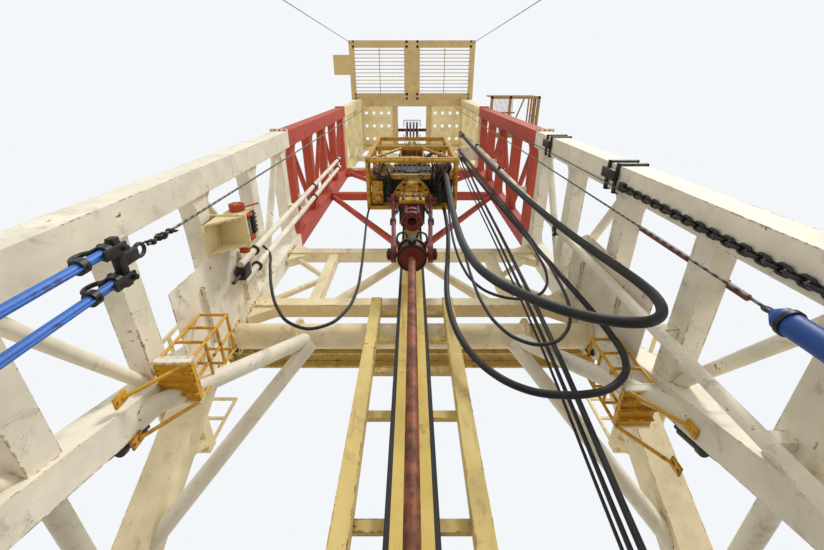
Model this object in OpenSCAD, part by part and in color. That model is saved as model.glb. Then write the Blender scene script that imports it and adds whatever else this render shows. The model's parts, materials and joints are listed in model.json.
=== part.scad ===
// Land drilling rig: substructure, open-front mast, crown, top drive and hoisting gear.
// X runs across the rig, Y runs from the open front to the back of the mast, Z is up.
// The origin is on the ground at the well centre.

/* [Substructure] */
// Height of the drill floor above the ground
floor_h = 4600; // [4000:100:6000]
// Full width of the substructure
sub_w = 10800; // [10000:100:12000]
// Full length of the substructure
sub_l = 12000; // [11600:100:14000]
// Thickness of the floor plating
floor_t = 60; // [30:5:80]
// Height of the skid and top beams
sub_beam_h = 400; // [300:10:500]
// Width of the skid and top beams
sub_beam_w = 350; // [250:10:350]
// Side of the square posts
sub_post = 260; // [200:10:300]
// Height of the pedestals under the mast and the A-frame
foot_h = 250; // [150:10:400]

/* [Mast] */
// Outer width of the mast
mast_w = 6400; // [6000:50:6800]
// Outer depth of the mast
mast_d = 2850; // [2600:50:3200]
// Distance from the well centre to the front face of the mast
mast_front = 1740; // [1700:10:1900]
// Side of the square box chords
chord = 350; // [300:10:400]
// Height of the lower section
lower_h = 11050; // [10600:50:12000]
// Height of the middle section
middle_h = 8600; // [8000:50:9500]
// Height of the top section
top_h = 7100; // [6600:50:8000]
// Height from the lower section's foot to the joint of the rear legs
joint_h = 6750; // [6400:50:7000]
// Depth of a side panel's cross beam
batten_h = 300; // [200:10:400]
// Thickness of a side panel's cross beam
batten_t = 240; // [150:10:260]
// Radius of the rounded haunches of the cross beams
haunch_r = 260; // [150:10:300]
// Diameter of the panel diagonals
diagonal_d = 140; // [100:10:180]
// Thickness of the flanges between the mast sections
flange_t = 40; // [20:5:60]

/* [Back bracing and A-frame] */
// Side of the square girts across the back
girt = 250; // [180:10:300]
// Diameter of the main girt
main_girt_d = 410; // [300:10:450]
// Diameter of the back diagonals
back_brace_d = 180; // [120:10:220]
// Depth of the A-frame leg
a_leg_d = 500; // [400:10:600]
// Width of the A-frame leg
a_leg_w = 400; // [300:10:450]
// Diameter of the brace pipes
brace_pipe_d = 220; // [150:10:260]

/* [Crown] */
// Height of the crown beams
crown_beam_h = 500; // [400:10:600]
// How far the crown platform reaches out in front of the mast
crown_reach = 3000; // [2500:50:3400]
// Full width of the crown platform
crown_w = 7000; // [6800:50:7200]
// Radius of the sheaves
sheave_r = 500; // [400:10:520]
// Distance between two sheaves
sheave_pitch = 200; // [160:5:220]
// Width of one sheave
sheave_w = 110; // [90:5:130]
// Diameter of the drilling line
line_d = 32; // [26:1:36]

/* [Top drive] */
// Height of the bottom of the top drive's guard above the floor
drive_z = 12100; // [12000:50:12600]
// Width of the guard frame
guard_w = 2400; // [2200:50:2600]
// Depth of the guard frame
guard_d = 1350; // [1200:10:1350]
// Height of the guard frame
guard_h = 4200; // [4000:50:4400]
// Side of the guard frame's tubes
guard_tube = 120; // [80:5:140]
// Radius of the round flange under the gearbox
drive_flange_r = 500; // [420:10:510]
// Drop from the link hooks to the elevator's ears
link_drop = 3500; // [3300:50:3600]

/* [Pipe and guide] */
// Outer diameter of the drill pipe
pipe_d = 127; // [114:1:140]
// Outer diameter of the tool joint
tool_joint_d = 168; // [160:1:178]
// Length of the joint of drill pipe
pipe_l = 9680; // [9400:10:9700]
// Width of the guide beam's flange
guide_w = 470; // [400:10:500]
// Running clearance between the carriage and the guide beam
guide_gap = 10; // [6:1:15]

/* [Hidden] */
$fn = 24;
cut = 5;

x_out = mast_w / 2;
x_in = x_out - chord;
x_mid = (x_out + x_in) / 2;
y_front = -mast_front;
y_rear = y_front + mast_d;
y_rear_in = y_rear - chord;
z_foot = floor_h + foot_h;
z_joint = z_foot + joint_h;
z_middle = z_foot + lower_h;
z_top = z_middle + middle_h;
z_crown = z_top + top_h;
sub_x = sub_w / 2;
sub_y = sub_l / 2;
z_deck = floor_h - floor_t;
z_beam = z_deck - sub_beam_h;

// Basic shapes

module block(x0, x1, y0, y1, z0, z1) {
    translate([x0, y0, z0]) cube([x1 - x0, y1 - y0, z1 - z0]);
}

// Prism with an outline in Y and Z, extruded along X
module side_prism(points, x0, x1) {
    translate([x0, 0, 0]) rotate([90, 0, 90]) linear_extrude(x1 - x0) polygon(points);
}

// Prism with an outline in X and Z, extruded along Y
module front_prism(points, y0, y1) {
    translate([0, y1, 0]) rotate([90, 0, 0]) linear_extrude(y1 - y0) polygon(points);
}

module bar(a, b, d) {
    run = b - a;
    flat = norm([run[0], run[1]]);
    translate(a) rotate([0, atan2(flat, run[2]), atan2(run[1], run[0])])
        cylinder(d = d, h = norm(run));
}

module x_rod(x0, x1, y, z, d) {
    translate([x0, y, z]) rotate([0, 90, 0]) cylinder(d = d, h = x1 - x0);
}

module on_left() {
    mirror([1, 0, 0]) children();
}

module on_both() {
    children();
    on_left() children();
}

// I-beam along Y, standing on z with its middle at x
i_web = 60;
i_flange = 50;
module beam_along_y(x, y0, y1, z, w, h) {
    front_prism([[x - w / 2, z], [x + w / 2, z], [x + w / 2, z + i_flange],
        [x + i_web / 2, z + i_flange], [x + i_web / 2, z + h - i_flange],
        [x + w / 2, z + h - i_flange], [x + w / 2, z + h], [x - w / 2, z + h],
        [x - w / 2, z + h - i_flange], [x - i_web / 2, z + h - i_flange],
        [x - i_web / 2, z + i_flange], [x - w / 2, z + i_flange]], y0, y1);
}

// Substructure

beam_in = x_mid;
beam_out = sub_x - sub_beam_w / 2;
foot_front_y = -1150;
foot_rear_y = 4390;
post_ys = [-sub_y + sub_post / 2, -3600, foot_front_y, 1600, foot_rear_y, sub_y - sub_post / 2];
sub_brace_d = 170;
cross_h = 260;

module side_truss(x) {
    for (z = [0, z_beam])
        beam_along_y(x, -sub_y, sub_y, z, sub_beam_w, sub_beam_h);
    for (y = post_ys)
        block(x - sub_post / 2, x + sub_post / 2, y - sub_post / 2, y + sub_post / 2,
            sub_beam_h - i_flange, z_beam + i_flange);
    for (i = [0 : len(post_ys) - 2]) {
        low = i % 2 == 0 ? post_ys[i] : post_ys[i + 1];
        high = i % 2 == 0 ? post_ys[i + 1] : post_ys[i];
        side_prism([[low - sub_brace_d / 2, sub_beam_h - i_flange / 2],
            [low + sub_brace_d / 2, sub_beam_h - i_flange / 2],
            [high + sub_brace_d / 2, z_beam + i_flange / 2],
            [high - sub_brace_d / 2, z_beam + i_flange / 2]],
            x - sub_brace_d / 2, x + sub_brace_d / 2);
    }
}

module substructure_inner_right() color("#b7b3aa") side_truss(beam_in);
module substructure_inner_left() color("#b7b3aa") on_left() side_truss(beam_in);
module substructure_outer_right() color("#b7b3aa") side_truss(beam_out);
module substructure_outer_left() color("#b7b3aa") on_left() side_truss(beam_out);

module substructure_cross_beams() {
    x0 = beam_in + sub_beam_w / 2;
    x1 = beam_out - sub_beam_w / 2;
    p0 = beam_in + sub_post / 2;
    p1 = beam_out - sub_post / 2;
    color("#b7b3aa")
        on_both() {
            for (y = post_ys) {
                block(x0, x1, y - sub_post / 2, y + sub_post / 2, z_deck - cross_h, z_deck);
                block(x0, x1, y - sub_post / 2, y + sub_post / 2, 0, cross_h);
            }
            for (y = [post_ys[0], post_ys[len(post_ys) - 1]])
                front_prism([[p0, sub_beam_h], [p0 + sub_brace_d, sub_beam_h], [p1, z_beam],
                    [p1 - sub_brace_d, z_beam]], y - sub_brace_d / 2, y + sub_brace_d / 2);
        }
}

module spreader(y0) {
    inner = beam_in - sub_beam_w / 2;
    y1 = y0 + sub_post;
    block(-inner, inner, y0, y1, z_deck - cross_h, z_deck);
    block(-inner, inner, y0, y1, i_flange, i_flange + cross_h);
    block(-sub_post / 2, sub_post / 2, y0, y1, i_flange, z_deck);
    intersection() {
        block(-inner, inner, y0, y1, 0, z_deck);
        for (s = [-1, 1])
            bar([s * inner, y0 + sub_post / 2, z_deck - cross_h],
                [0, y0 + sub_post / 2, cross_h], sub_brace_d);
    }
}

module spreaders() {
    color("#b7b3aa") {
        spreader(-sub_y);
        spreader(sub_y - sub_post);
    }
}

rotary_beam_y = 900;
rotary_beam_w = 320;
rotary_beam_h = 800;
module rotary_beams() {
    inner = beam_in - sub_beam_w / 2;
    color("#a9a59c") {
        for (s = [-1, 1])
            block(-inner, inner, s * rotary_beam_y - rotary_beam_w / 2,
                s * rotary_beam_y + rotary_beam_w / 2, z_deck - rotary_beam_h, z_deck);
        for (s = [-1, 1])
            block(s * rotary_beam_y - rotary_beam_w / 2, s * rotary_beam_y + rotary_beam_w / 2,
                -rotary_beam_y, rotary_beam_y, z_deck - sub_beam_h, z_deck);
    }
}

joist_w = 200;
joist_ys = [-4700, -3500, -2300, 2300, 3500, 4700];
module floor_joists() {
    inner = beam_in - sub_beam_w / 2;
    color("#a9a59c")
        for (y = joist_ys)
            block(-inner, inner, y - joist_w / 2, y + joist_w / 2, z_beam, z_deck);
}

rotary_hole_r = 700;
module drill_floor() {
    color("#8f8b84")
        difference() {
            block(-sub_x, sub_x, -sub_y, sub_y, z_deck, floor_h);
            translate([0, 0, z_deck - cut]) cylinder(r = rotary_hole_r, h = floor_t + 2 * cut);
        }
}

rotary_base_r = 740;
rotary_base_h = 160;
rotary_ring_r = 600;
rotary_ring_h = 60;
rotary_bore_r = 160;
module rotary_table() {
    color("#9b4a35")
        difference() {
            union() {
                translate([0, 0, floor_h]) cylinder(r = rotary_base_r, h = rotary_base_h);
                translate([0, 0, floor_h + rotary_base_h])
                    cylinder(r = rotary_ring_r, h = rotary_ring_h);
            }
            translate([0, 0, floor_h - cut])
                cylinder(r = rotary_bore_r, h = rotary_base_h + rotary_ring_h + 2 * cut);
        }
}

rail_h = 1100;
rail_d = 50;
v_door_half = 1500;
// Handrail of square tube along a straight run, with a post at each end
module handrail(a, b, posts) {
    half = rail_d / 2;
    for (i = [0 : posts - 1])
        translate(a + (b - a) * i / (posts - 1) - [half, half, 0])
            cube([rail_d, rail_d, rail_h]);
    for (h = [(rail_h - rail_d) / 2, rail_h - rail_d])
        translate([min(a[0], b[0]) - half, min(a[1], b[1]) - half, a[2] + h])
            cube([abs(b[0] - a[0]) + rail_d, abs(b[1] - a[1]) + rail_d, rail_d]);
}

module floor_railings() {
    e = 60;
    color("#d9a514") {
        for (s = [-1, 1])
            handrail([s * (sub_x - e), -sub_y + 2 * e, floor_h],
                [s * (sub_x - e), sub_y - 2 * e, floor_h], 9);
        for (s = [-1, 1])
            handrail([s * (sub_x - 3 * e), -sub_y + e, floor_h],
                [s * v_door_half, -sub_y + e, floor_h], 4);
        handrail([-sub_x + 3 * e, sub_y - e, floor_h], [sub_x - 3 * e, sub_y - e, floor_h], 8);
    }
}

foot_margin = 90;
a_foot_y0 = 4130;
module mast_feet() {
    color("#a9a59c")
        on_both() {
            block(x_in - foot_margin, x_out - 1, y_front - foot_margin,
                lean_foot_y + lean_leg_w + foot_margin, floor_h, z_foot);
            block(x_out, x_out + a_leg_w, a_foot_y0 - foot_margin,
                a_foot_y0 + a_leg_d + foot_margin, floor_h, z_foot);
        }
}

// Mast

// Cross beam of a side panel, with rounded haunches where it meets the chords
module batten(y0, y1, z) {
    x0 = x_mid - batten_t / 2;
    half = batten_h / 2;
    difference() {
        block(x0, x0 + batten_t, y0, y1, z - half - haunch_r, z + half + haunch_r);
        for (s = [-1, 1]) {
            x_slot = x0 - cut;
            zc = z + s * (half + haunch_r);
            for (y = [y0 + haunch_r, y1 - haunch_r])
                x_rod(x_slot, x0 + batten_t + cut, y, zc, 2 * haunch_r);
            block(x_slot, x0 + batten_t + cut, y0 + haunch_r, y1 - haunch_r,
                s > 0 ? z + half : zc - cut, s > 0 ? zc + cut : z - half);
        }
    }
}

flange_margin = 50;
module chord_flange(y, z) {
    block(x_in, x_out + flange_margin, y - (y < 0 ? flange_margin : 0),
        y + chord + (y < 0 ? 0 : flange_margin), z, z + flange_t);
}

module panel_diagonals(levels) {
    for (i = [0 : len(levels) - 2]) {
        ya = i % 2 == 0 ? y_front + chord / 2 : y_rear_in + chord / 2;
        yb = i % 2 == 0 ? y_rear_in + chord / 2 : y_front + chord / 2;
        bar([x_mid, ya, levels[i]], [x_mid, yb, levels[i + 1]], diagonal_d);
    }
}

// Straight section of one side: two chords, cross beams, diagonals and end flanges
module mast_side(z0, z1, bays) {
    end = batten_h / 2 + haunch_r;
    levels = [for (i = [0 : bays]) z0 + end + (z1 - z0 - 2 * end) * i / bays];
    block(x_in, x_out, y_front, y_front + chord, z0, z1);
    block(x_in, x_out, y_rear_in, y_rear, z0, z1);
    for (z = levels)
        batten(y_front + chord, y_rear_in, z);
    panel_diagonals(levels);
    for (y = [y_front, y_rear_in]) {
        chord_flange(y, z0);
        chord_flange(y, z1 - flange_t);
    }
}

lean_foot_y = -930;
lean_leg_w = 360;
joint_margin = 60;
joint_half_h = 300;
lean_run = y_rear - lean_leg_w - lean_foot_y;
function lean_y(z) = lean_foot_y + lean_run * (z - z_foot) / joint_h;

module lean_leg() {
    side_prism([[lean_foot_y, z_foot], [lean_foot_y + lean_leg_w, z_foot],
        [y_rear, z_joint], [y_rear - lean_leg_w, z_joint]], x_in, x_out);
}

low_battens = [for (f = [0.304, 0.526, 0.748]) z_foot + joint_h * f];
module mast_lower() {
    top = z_middle - batten_h / 2 - haunch_r;
    block(x_in, x_out, y_front, y_front + chord, z_foot, z_middle);
    lean_leg();
    block(x_in, x_out, y_rear_in, y_rear, z_joint, z_middle);
    block(x_in, x_out, y_rear_in - joint_margin, y_rear + joint_margin,
        z_joint - joint_half_h, z_joint + joint_half_h);
    for (z = low_battens)
        block(x_mid - batten_t / 2, x_mid + batten_t / 2, y_front + chord,
            lean_y(z) + lean_leg_w / 2, z - batten_h / 2, z + batten_h / 2);
    for (i = [0 : len(low_battens) - 2])
        bar([x_mid, y_front + chord / 2, low_battens[i]],
            [x_mid, lean_y(low_battens[i + 1]) + lean_leg_w / 2, low_battens[i + 1]],
            diagonal_d);
    for (z = [z_joint, (z_joint + top) / 2, top])
        batten(y_front + chord, y_rear_in, z);
    panel_diagonals([z_joint, (z_joint + top) / 2, top]);
    for (y = [y_front, y_rear_in])
        chord_flange(y, z_middle - flange_t);
}

module mast_lower_right() color("#e8e0cf") mast_lower();
module mast_lower_left() color("#e8e0cf") on_left() mast_lower();
module mast_middle_right() color("#b5452e") mast_side(z_middle, z_top, 4);
module mast_middle_left() color("#b5452e") on_left() mast_side(z_middle, z_top, 4);
module mast_top_right() color("#e8cf8a") mast_side(z_top, z_crown, 3);
module mast_top_left() color("#e8cf8a") on_left() mast_side(z_top, z_crown, 3);

// Back of the mast

girt_y = y_rear_in + (chord - girt) / 2;
girt_mid = girt_y + girt / 2;
main_girt_y = y_rear_in + chord / 2;
module back_girt(z) {
    block(-x_in, x_in, girt_y, girt_y + girt, z - girt / 2, z + girt / 2);
}

// Two diagonals from x_outer at z_outer to the middle at z_centre, cut off below z_cut
module back_vee(z_outer, z_centre, x_outer = x_in, z_cut = 0) {
    intersection() {
        block(-x_in, x_in, girt_y, girt_y + girt,
            max(z_cut, min(z_outer, z_centre) - girt / 2), max(z_outer, z_centre) + girt / 2);
        for (s = [-1, 1])
            bar([s * x_outer, girt_mid, z_outer], [0, girt_mid, z_centre], back_brace_d);
    }
}

module main_girt() {
    color("#d8d4ca")
        x_rod(-x_in, x_in, main_girt_y, z_joint, main_girt_d);
}

lower_girt_1 = z_joint + (z_middle - z_joint) * 0.21;
lower_girt_2 = z_joint + (z_middle - z_joint) * 0.77;
middle_girt_1 = z_middle + middle_h * 0.51;
middle_girt_2 = z_top - 300;
top_girt_1 = z_top + top_h * 0.465;
top_girt_2 = z_crown - 300;
// Posts between the two lower girts, with a small brace to each corner
post_x = 1800;
post_w = 200;
knee_brace_d = 120;
vee_foot_x = 1530;
module back_bracing_lower() {
    z_half = (lower_girt_1 + lower_girt_2) / 2;
    color("#e8e0cf") {
        back_girt(lower_girt_1);
        back_girt(lower_girt_2);
        back_vee(lower_girt_1, lower_girt_2, vee_foot_x);
        on_both() {
            block(post_x - post_w / 2, post_x + post_w / 2, girt_mid - post_w / 2,
                girt_mid + post_w / 2, lower_girt_1, lower_girt_2);
            intersection() {
                block(0, x_in, girt_y, girt_y + girt, lower_girt_1, lower_girt_2);
                union() {
                    bar([post_x, girt_mid, z_half], [x_in, girt_mid, lower_girt_1],
                        knee_brace_d);
                    bar([post_x, girt_mid, z_half], [x_in, girt_mid, lower_girt_2],
                        knee_brace_d);
                }
            }
        }
    }
}

module back_bracing_middle() {
    color("#b5452e") {
        back_girt(middle_girt_1);
        back_girt(middle_girt_2);
        back_vee(middle_girt_1, lower_girt_2, x_in, lower_girt_2 + girt / 2);
        back_vee(middle_girt_2, middle_girt_1);
    }
}

module back_bracing_top() {
    color("#e8cf8a") {
        back_girt(z_top + girt);
        back_girt(top_girt_1);
        back_girt(top_girt_2);
        back_vee(top_girt_1, z_top + girt);
        back_vee(top_girt_2, top_girt_1);
    }
}

a_top_y = 980;
a_top_z = z_joint + joint_half_h;
module a_frame() {
    side_prism([[a_top_y, a_top_z], [a_top_y + a_leg_d, a_top_z],
        [a_foot_y0 + a_leg_d, z_foot], [a_foot_y0, z_foot]], x_out, x_out + a_leg_w);
}

module a_frame_right() color("#e8e0cf") a_frame();
module a_frame_left() color("#e8e0cf") on_left() a_frame();

brace_x = 1590;
brace_low_z = 9200;
brace_rear_z = 9050;
tie_z = 8650;
tie_x = x_out + a_leg_w / 2;
tie_flange_d = 340;
a_slope = (a_foot_y0 - a_top_y) / (a_top_z - z_foot);
function a_front_y(z) = a_top_y + a_slope * (a_top_z - z);
module brace_pipes() {
    color("#cfc9bb")
        on_both()
            difference() {
                union() {
                    bar([brace_x, main_girt_y, z_joint],
                        [x_in + chord / 2, lean_y(brace_low_z) + lean_leg_w / 2, brace_low_z],
                        brace_pipe_d);
                    bar([brace_x, main_girt_y, z_joint - main_girt_d * 0.44],
                        [x_out + chord / 2, a_front_y(brace_rear_z) + a_leg_d / 2, brace_rear_z],
                        brace_pipe_d);
                    bar([tie_x, lean_y(tie_z), tie_z],
                        [tie_x, a_front_y(tie_z) + a_leg_d / 2, tie_z], brace_pipe_d);
                    bar([tie_x, lean_y(tie_z) + lean_leg_w, tie_z],
                        [tie_x, lean_y(tie_z) + lean_leg_w + flange_t, tie_z], tie_flange_d);
                    block(x_out, tie_x, lean_y(tie_z), lean_y(tie_z) + lean_leg_w / 2,
                        tie_z - brace_pipe_d / 2, tie_z + brace_pipe_d / 2);
                }
                a_frame();
                lean_leg();
                x_rod(-x_in, x_in, main_girt_y, z_joint, main_girt_d);
            }
}

platform_t = 60;
platform_rib = 160;
platform_x0 = x_out + a_leg_w;
platform_x1 = platform_x0 + 700;
platform_y0 = y_rear + joint_margin;
platform_y1 = 3200;
platform_z = z_joint - 200;
platform_strut_z = z_joint - 1700;
platform_strut_w = 180;
walkway_z = z_joint + joint_half_h + 100;
walkway_y1 = 1780;
module ribbed_plate(x0, x1, y0, y1, z, ribs) {
    rib_t = 40;
    block(x0, x1, y0, y1, z, z + platform_t);
    for (i = [0 : ribs - 1]) {
        y = y0 + (y1 - y0 - rib_t) * i / (ribs - 1);
        block(x0, x1, y, y + rib_t, z - platform_rib, z);
    }
    for (x = [x0, x1 - rib_t])
        block(x, x + rib_t, y0, y1, z - platform_rib, z);
}

module side_platform() {
    e = rail_d;
    z = platform_z + platform_t;
    y = a_front_y(platform_strut_z) + platform_strut_w;
    ribbed_plate(platform_x0, platform_x1, platform_y0, platform_y1, platform_z, 5);
    side_prism([[y, platform_strut_z], [y + platform_strut_w, platform_strut_z],
        [platform_y1 - platform_strut_w, platform_z - platform_rib],
        [platform_y1 - platform_strut_w * 2, platform_z - platform_rib]],
        platform_x0, platform_x0 + platform_strut_w / 2);
    handrail([platform_x1 - e, platform_y0 + e, z], [platform_x1 - e, platform_y1 - e, z], 3);
    handrail([platform_x0 + e, platform_y1 - e, z], [platform_x1 - e, platform_y1 - e, z], 2);
}

module side_platform_right() color("#e8cf8a") side_platform();
module side_platform_left() color("#e8cf8a") on_left() side_platform();

module rear_walkway() {
    e = rail_d;
    color("#d9a514") {
        ribbed_plate(-x_out, x_out, platform_y0, walkway_y1, walkway_z, 3);
        handrail([-x_out + e, walkway_y1 - e, walkway_z + platform_t],
            [x_out - e, walkway_y1 - e, walkway_z + platform_t], 7);
    }
}

// Crown

crown_side_w = 300;
z_crown_top = z_crown + crown_beam_h;
sheave_beam_x0 = 850;
sheave_beam_x1 = 1150;
module crown_frame() {
    color("#b89a62") {
        block(-x_out, x_out, y_front, y_front + chord, z_crown, z_crown_top);
        block(-x_out, x_out, y_rear_in, y_rear, z_crown, z_crown_top);
        on_both() {
            block(x_out - crown_side_w, x_out, y_front, y_rear, z_crown, z_crown_top);
            block(sheave_beam_x0, sheave_beam_x1, y_front, y_rear, z_crown, z_crown_top);
        }
    }
}

deck_t = 40;
deck_hole_r = 90;
module crown_deck() {
    x0 = sheave_beam_x1;
    x1 = x_out - crown_side_w;
    y0 = y_front + chord;
    color("#e8cf8a")
        on_both()
            difference() {
                block(x0, x1, y0, y_rear_in, z_crown, z_crown + deck_t);
                for (i = [0 : 3])
                    for (j = [0 : 2])
                        translate([x0 + (x1 - x0) * (i + 0.5) / 4,
                            y0 + (y_rear_in - y0) * (j + 0.5) / 3, z_crown - cut])
                            cylinder(r = deck_hole_r, h = deck_t + 2 * cut);
            }
}

platform_beam_w = 260;
platform_beam_h = 400;
crown_y0 = y_front - crown_reach;
module crown_platform() {
    w = platform_beam_w;
    z0 = z_crown;
    z1 = z_crown + platform_beam_h;
    half = crown_w / 2;
    color("#b89a62") {
        block(-half, half, crown_y0, crown_y0 + w, z0, z1);
        block(-half, half, y_front - w, y_front, z0, z1);
        on_both()
            block(half - w, half, crown_y0, y_front, z0, z1);
        block(-half / 8, half / 8, crown_y0, y_front, z0, z1);
        block(-half - 900, -half, crown_y0 + 700, crown_y0 + 1700, z0, z0 + platform_beam_h / 2);
    }
}

slat_w = 40;
slat_n = 14;
module crown_gratings() {
    x0 = crown_w / 16;
    x1 = crown_w / 2 - platform_beam_w;
    y0 = crown_y0 + platform_beam_w;
    y1 = y_front - platform_beam_w;
    color("#9a8253")
        on_both() {
            for (i = [0 : slat_n - 1])
                block(x0, x1, y0 + (y1 - y0 - slat_w) * i / (slat_n - 1),
                    y0 + (y1 - y0 - slat_w) * i / (slat_n - 1) + slat_w,
                    z_crown + 200, z_crown + 280);
            block((x0 + x1) / 2 - slat_w / 2, (x0 + x1) / 2 + slat_w / 2, y0, y1,
                z_crown + 200, z_crown + 280);
        }
}

shaft_d = 180;
shaft_z = z_crown_top + 300;
bearing_w = 240;
module crown_shaft() {
    color("#5a2420") {
        x_rod(-sheave_beam_x1, sheave_beam_x1, 0, shaft_z, shaft_d);
        on_both()
            difference() {
                union() {
                    block(sheave_beam_x0, sheave_beam_x1, -bearing_w, bearing_w,
                        z_crown_top, shaft_z);
                    x_rod(sheave_beam_x0, sheave_beam_x1, 0, shaft_z, 2 * bearing_w);
                }
                x_rod(sheave_beam_x0 - cut, sheave_beam_x1 - flange_t, 0, shaft_z, shaft_d);
            }
    }
}

hub_r = 150;
hub_gap = 1;
groove_r = 455;
groove_half = 24;
rim_r = 420;
web_half = 20;
sheave_xs = [for (i = [0 : 3]) (i - 1.5) * sheave_pitch];
line_y = groove_r + line_d / 2 + 0.2;
module sheave(x, z) {
    h = sheave_w / 2;
    bore = shaft_d / 2 + hub_gap;
    translate([x, 0, z]) rotate([0, 90, 0]) rotate_extrude()
        polygon([[bore, -h], [hub_r, -h], [hub_r, -web_half], [rim_r, -web_half], [rim_r, -h],
            [sheave_r, -h], [sheave_r, -h + 8], [groove_r, -groove_half],
            [groove_r, groove_half], [sheave_r, h - 8], [sheave_r, h], [rim_r, h],
            [rim_r, web_half], [hub_r, web_half], [hub_r, h], [bore, h]]);
}

module crown_sheaves() {
    color("#7a2a22")
        for (x = sheave_xs)
            sheave(x, shaft_z);
}

board_z = z_top - 500;
board_x1 = 5200;
board_y0 = -2200;
board_y1 = -600;
module racking_board() {
    e = rail_d;
    z = board_z + platform_t;
    color("#d9a514") {
        ribbed_plate(x_out, board_x1, board_y0, board_y1, board_z, 4);
        handrail([board_x1 - e, board_y0 + e, z], [board_x1 - e, board_y1 - e, z], 3);
        for (y = [board_y0 + e, board_y1 - e])
            handrail([x_out + 2 * e, y, z], [board_x1 - e, y, z], 4);
    }
}

// Guide beam and frame in front of the back bracing

guide_y = 540;
guide_flange_t = 40;
guide_box_w = 300;
guide_box_d = 140;
guide_box_y1 = guide_y + guide_flange_t + guide_box_d;
guide_z0 = 6100;
guide_z1 = z_crown - 300;
bracket_half = 100;
module guide_beam() {
    color("#d9a514") {
        block(-guide_w / 2, guide_w / 2, guide_y, guide_y + guide_flange_t, guide_z0, guide_z1);
        block(-guide_box_w / 2, guide_box_w / 2, guide_y + guide_flange_t, guide_box_y1,
            guide_z0, guide_z1);
        for (z = [lower_girt_1, lower_girt_2, middle_girt_1, middle_girt_2, top_girt_1])
            block(-bracket_half, bracket_half, guide_box_y1, girt_y,
                z - bracket_half, z + bracket_half);
    }
}

column_x0 = 515;
column_w = 170;
column_z1 = z_joint + 600;
rung_zs = [for (f = [0.132, 0.316, 0.5, 0.671, 0.776, 0.872, 0.97])
    floor_h + (column_z1 - floor_h) * f];
rung_t = 60;
module guide_columns() {
    color("#d9a514") {
        on_both()
            block(column_x0, column_x0 + column_w, guide_box_y1 - column_w, guide_box_y1,
                floor_h, column_z1);
        for (z = rung_zs)
            block(-column_x0 - column_w, column_x0 + column_w, guide_box_y1,
                guide_box_y1 + rung_t, z - rung_t, z + rung_t);
    }
}

// Standpipes, winch and hanging tools

standpipe_d = 130;
standpipe_y = -300;
standpipe_x = x_in - 130;
standpipe_z = z_top + 400;
hose_end_x = 2150;
hose_end_z = z_top;
hose_y = -650;
elbow_swell = 1.2;
// Straight pipes with a round elbow at each corner
module pipe_run(points, d) {
    for (i = [0 : len(points) - 2])
        bar(points[i], points[i + 1], d);
    for (i = [1 : len(points) - 2])
        translate(points[i]) sphere(d = d * elbow_swell);
}

module standpipes() {
    color("#d8d4ca") {
        left_pipes();
        pipe_run([[standpipe_x, standpipe_y, floor_h], [standpipe_x, standpipe_y, standpipe_z],
            [hose_end_x, hose_y, standpipe_z], [hose_end_x, hose_y, hose_end_z]], standpipe_d);
        for (z = [low_battens[1], low_battens[2], z_middle + batten_h / 2 + haunch_r,
            (z_middle + z_top) / 2, z_top - batten_h / 2 - haunch_r])
            block(standpipe_x, x_mid - batten_t / 2, standpipe_y - 60, standpipe_y + 60,
                z - 60, z + 60);
    }
}

// Arm that the thinner hoses hang from
bracket_z = z_top - 300;
bracket_t = 60;
module hose_bracket() {
    color("#e8e4da") {
        block(1950, x_mid - batten_t / 2, -150, 380, bracket_z, bracket_z + bracket_t);
        for (y = [-150, 320])
            front_prism([[2000, bracket_z + bracket_t], [x_mid - batten_t / 2, bracket_z + bracket_t],
                [x_mid - batten_t / 2, bracket_z + bracket_t + 60], [2100, bracket_z + bracket_t + 60]],
                y, y + 60);
    }
}

rail_pipe_d = 110;
rail_pipe_ys = [-150, 150];
rail_pipe_z0 = z_joint + 400;
rail_pipe_z1 = z_middle + middle_h * 0.663;
module left_pipes() {
    on_left() {
        for (y = rail_pipe_ys)
            translate([x_in - 120, y, rail_pipe_z0])
                cylinder(d = rail_pipe_d, h = rail_pipe_z1 - rail_pipe_z0);
        for (z = [z_middle - batten_h - haunch_r / 2, z_middle + batten_h / 2 + haunch_r,
            (z_middle + z_top) / 2])
            block(x_in - 120, x_mid - batten_t / 2, rail_pipe_ys[0], rail_pipe_ys[1],
                z - 60, z + 60);
    }
}

winch_y = -800;
winch_z = z_joint + batten_h / 2;
module winch() {
    x1 = x_mid + batten_t / 2;
    x0 = x_in - 450;
    color("#1c1c20")
        on_left() {
            block(x0, x1, winch_y - 250, winch_y + 250, winch_z, winch_z + 40);
            for (y = [winch_y - 250, winch_y + 210])
                block(x0 + 50, x0 + 350, y, y + 40, winch_z + 40, winch_z + 400);
            translate([x0 + 200, winch_y - 210, winch_z + 230]) rotate([-90, 0, 0])
                cylinder(d = 260, h = 420);
        }
}

hang_d = 24;
tong_x = -2200;
tong_y = y_front + chord / 2;
tong_z0 = 6300;
tong_z1 = 8900;
tong_tube_d = 110;
tong_tube_gap = 240;
tong_yoke_h = 160;
tong_stem_d = 60;
tong_stem_h = 250;
module hanging_tong() {
    color("#2e6fc4")
        translate([tong_x, tong_y, 0]) {
            for (y = [-tong_tube_gap / 2, tong_tube_gap / 2])
                translate([0, y, tong_z0]) cylinder(d = tong_tube_d, h = tong_z1 - tong_z0);
            block(-90, 90, -200, 200, tong_z1, tong_z1 + tong_yoke_h);
            translate([0, 0, tong_z1 + tong_yoke_h])
                cylinder(d = tong_stem_d, h = tong_stem_h);
        }
}

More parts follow.
